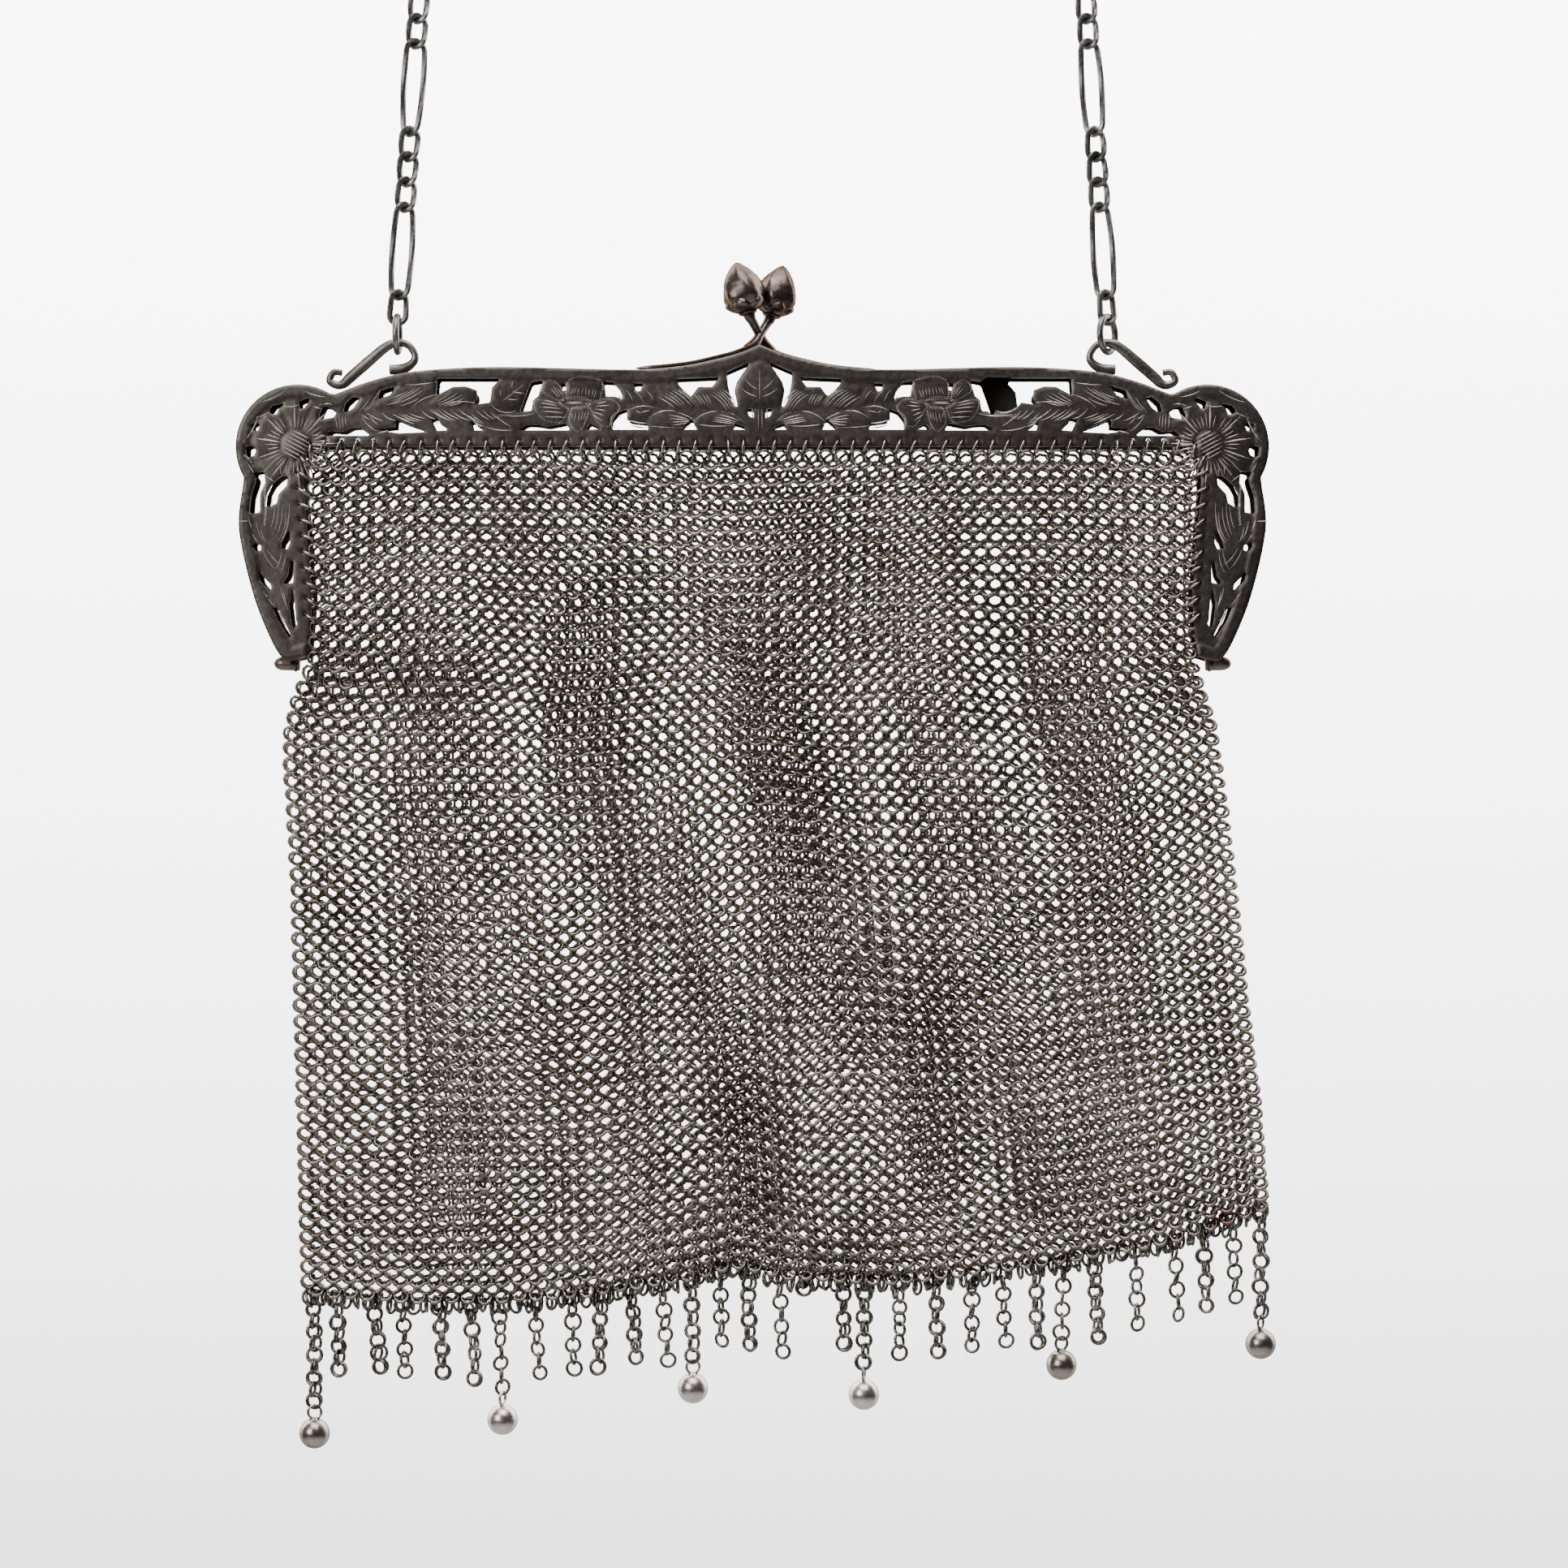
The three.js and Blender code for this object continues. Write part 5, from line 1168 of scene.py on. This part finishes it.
# Loose rings that hang in pairs all along the hem between the strands
stub = np.linspace(0.006, 0.994, 84)
stub_place = np.column_stack([np.interp(stub, hem_share, hem_line[:, i]) for i in range(3)])
for offset in (-0.22, 0.22):
    twist = np.radians(rng.normal(70, 22, len(stub)))
    out = np.column_stack([-np.sin(twist), np.cos(twist), 0 * twist])
    drop = np.column_stack([0 * stub, -stub_place[:, 1], rng.normal(-0.7, 0.35, len(stub))])
    rings.append(np.hstack([stub_place + drop + offset * out, twist[:, None]]))
rings = np.vstack(rings)
across = np.column_stack([np.cos(rings[:, 3]), np.sin(rings[:, 3]), 0 * rings[:, 3]])
upright = np.tile([0, 0, 1.0], (len(rings), 1))
tip = rng.normal(0, 0.12, len(rings))[:, None]
upright = unit(upright + tip * np.cross(across, upright))
size = FRINGE_RADIUS * rng.normal(1, 0.04, len(rings))
points, faces = ring_array(rings[:, :3], across, upright, size, FRINGE_WIRE, 14, 5)
fringe = add_piece("fringe_rings", points, faces, fringe_metal, edge=180)
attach(fringe, "root")
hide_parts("fringe")


# The balls. Two half shells soldered together, with a slight seam, small dents from wear, a
# pinch of solder at the top and a round wire eye.
PALE_BALLS = (1, 2, 3)
EYE_TURNS = (0, 70, 15, 80, 25, 60)
pale_ball = silver("ball_silver_pale", (0.34, 0.3, 0.28), (0.54, 0.49, 0.455), 0.3, patch=150, bump=0.05)
dark_ball = silver("ball_silver_dark", (0.16, 0.14, 0.125), (0.3, 0.27, 0.24), 0.28, patch=150, bump=0.05)


def ball_shape(angle, t):
    """A little out of round, with shallow flats."""
    return 1 + 0.006 * np.cos(2 * angle + 5 * t) - 0.012 * np.clip(np.cos(3 * angle + 9 * t) - 0.8, 0, 1)


for i, (x, z, eye) in enumerate(zip(ball_x, ball_z, eye_z)):
    t = np.linspace(0, 1, 25)
    reach = BALL_RADIUS * np.sin(np.pi * np.clip(t, 0.006, 0.994))
    reach[12] *= 1.006
    height = BALL_RADIUS * -np.cos(np.pi * t)
    collar = np.column_stack([[0.75, 0.6, 0.42, 0.3], BALL_RADIUS + np.array([-0.16, -0.02, 0.1, 0.16])])
    reach, height = np.append(reach[:-2], collar[:, 0]), np.append(height[:-2], collar[:, 1])
    shell = lathe_mesh(reach, height, 36, ball_shape)
    turn = math.radians(EYE_TURNS[i])
    ring = ring_array(
        np.array([[0, 0, eye - z]]), np.array([[math.cos(turn), math.sin(turn), 0]]),
        np.array([[0, 0, 1.0]]), EYE_RADIUS, EYE_WIRE, 20, 8,
    )
    points, faces = joined([shell, ring])
    metal = pale_ball if i in PALE_BALLS else dark_ball
    ball = add_piece(f"fringe_ball_{i + 1}_metal", points + (x, 0, z), faces, metal)
    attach(ball, "root")
    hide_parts(f"fringe_ball_{i + 1}")


# The room. The purse hangs before a bright seamless wall that fades downwards, under a broad
# light from above, with a softer one from the front left in an otherwise dark room. The wall is
# not lit but glows itself, brighter at the top and fading downwards: painted light.
WALL_DEPTH = 420
WALL_TOP = 1300
FLOOR_HEIGHT = -900
ROOM_REACH = 1500


def stage_plane(name, corners, glow=None):
    """A flat sheet of the room from four corners in millimetres. A glow gives two heights in
    millimetres and how bright the sheet is at each."""
    mesh = bpy.data.meshes.new(name)
    mesh.from_pydata([tuple(np.array(c) * MM + ORIGIN) for c in corners], [], [(0, 1, 2, 3)])
    material = bpy.data.materials.new(name)
    material.use_nodes = True
    tree = material.node_tree
    shader = tree.nodes["Principled BSDF"]
    shader.inputs["Base Color"].default_value = (0.5, 0.5, 0.5, 1)
    shader.inputs["Roughness"].default_value = 0.9
    if glow:
        place = tree.nodes.new("ShaderNodeTexCoord")
        split = tree.nodes.new("ShaderNodeSeparateXYZ")
        fade = tree.nodes.new("ShaderNodeMapRange")
        fade.inputs["From Min"].default_value = glow[0][0] * MM + ORIGIN[2]
        fade.inputs["From Max"].default_value = glow[1][0] * MM + ORIGIN[2]
        fade.inputs["To Min"].default_value = glow[0][1]
        fade.inputs["To Max"].default_value = glow[1][1]
        tree.links.new(place.outputs["Object"], split.inputs["Vector"])
        tree.links.new(split.outputs["Z"], fade.inputs["Value"])
        shader.inputs["Base Color"].default_value = (0.02, 0.02, 0.02, 1)
        shader.inputs["Emission Color"].default_value = (0.995, 0.998, 1, 1)
        tree.links.new(fade.outputs["Result"], shader.inputs["Emission Strength"])
    mesh.materials.append(material)
    sheet = bpy.data.objects.new(name, mesh)
    bpy.context.scene.collection.objects.link(sheet)


wall_foot = [(-ROOM_REACH, WALL_DEPTH, FLOOR_HEIGHT), (ROOM_REACH, WALL_DEPTH, FLOOR_HEIGHT)]
wall_head = [(ROOM_REACH, WALL_DEPTH, WALL_TOP), (-ROOM_REACH, WALL_DEPTH, WALL_TOP)]
floor_front = [(-ROOM_REACH, -ROOM_REACH, FLOOR_HEIGHT), (ROOM_REACH, -ROOM_REACH, FLOOR_HEIGHT)]
# Painted light: the backdrop glows instead of being lit, from 2.6 low down to 9.4 higher up.
stage_plane("backdrop", wall_foot + wall_head, ((-280, 2.6), (170, 9.4)))
stage_plane("floor", floor_front + wall_foot[::-1])


def area_light(name, place, aim, size, power):
    """A square soft light at a place, in millimetres, turned to face its aim."""
    data = bpy.data.lights.new(name, "AREA")
    data.size = size * MM
    data.energy = power
    light = bpy.data.objects.new(name, data)
    bpy.context.scene.collection.objects.link(light)
    light.location = np.array(place) * MM + ORIGIN
    way = (np.array(aim) - np.array(place)) * MM
    light.rotation_euler = mathutils.Vector(way).to_track_quat("-Z", "Y").to_euler()
    return light


area_light("overhead", (0, -350, 900), (0, 0, -60), 900, 20)
area_light("front_left", (-700, -900, 250), (0, 0, -60), 500, 9)
world = bpy.data.worlds.new("room")
bpy.context.scene.world = world
world.use_nodes = True
world.node_tree.nodes["Background"].inputs["Color"].default_value = (0.93, 0.93, 0.93, 1)
world.node_tree.nodes["Background"].inputs["Strength"].default_value = 0.1
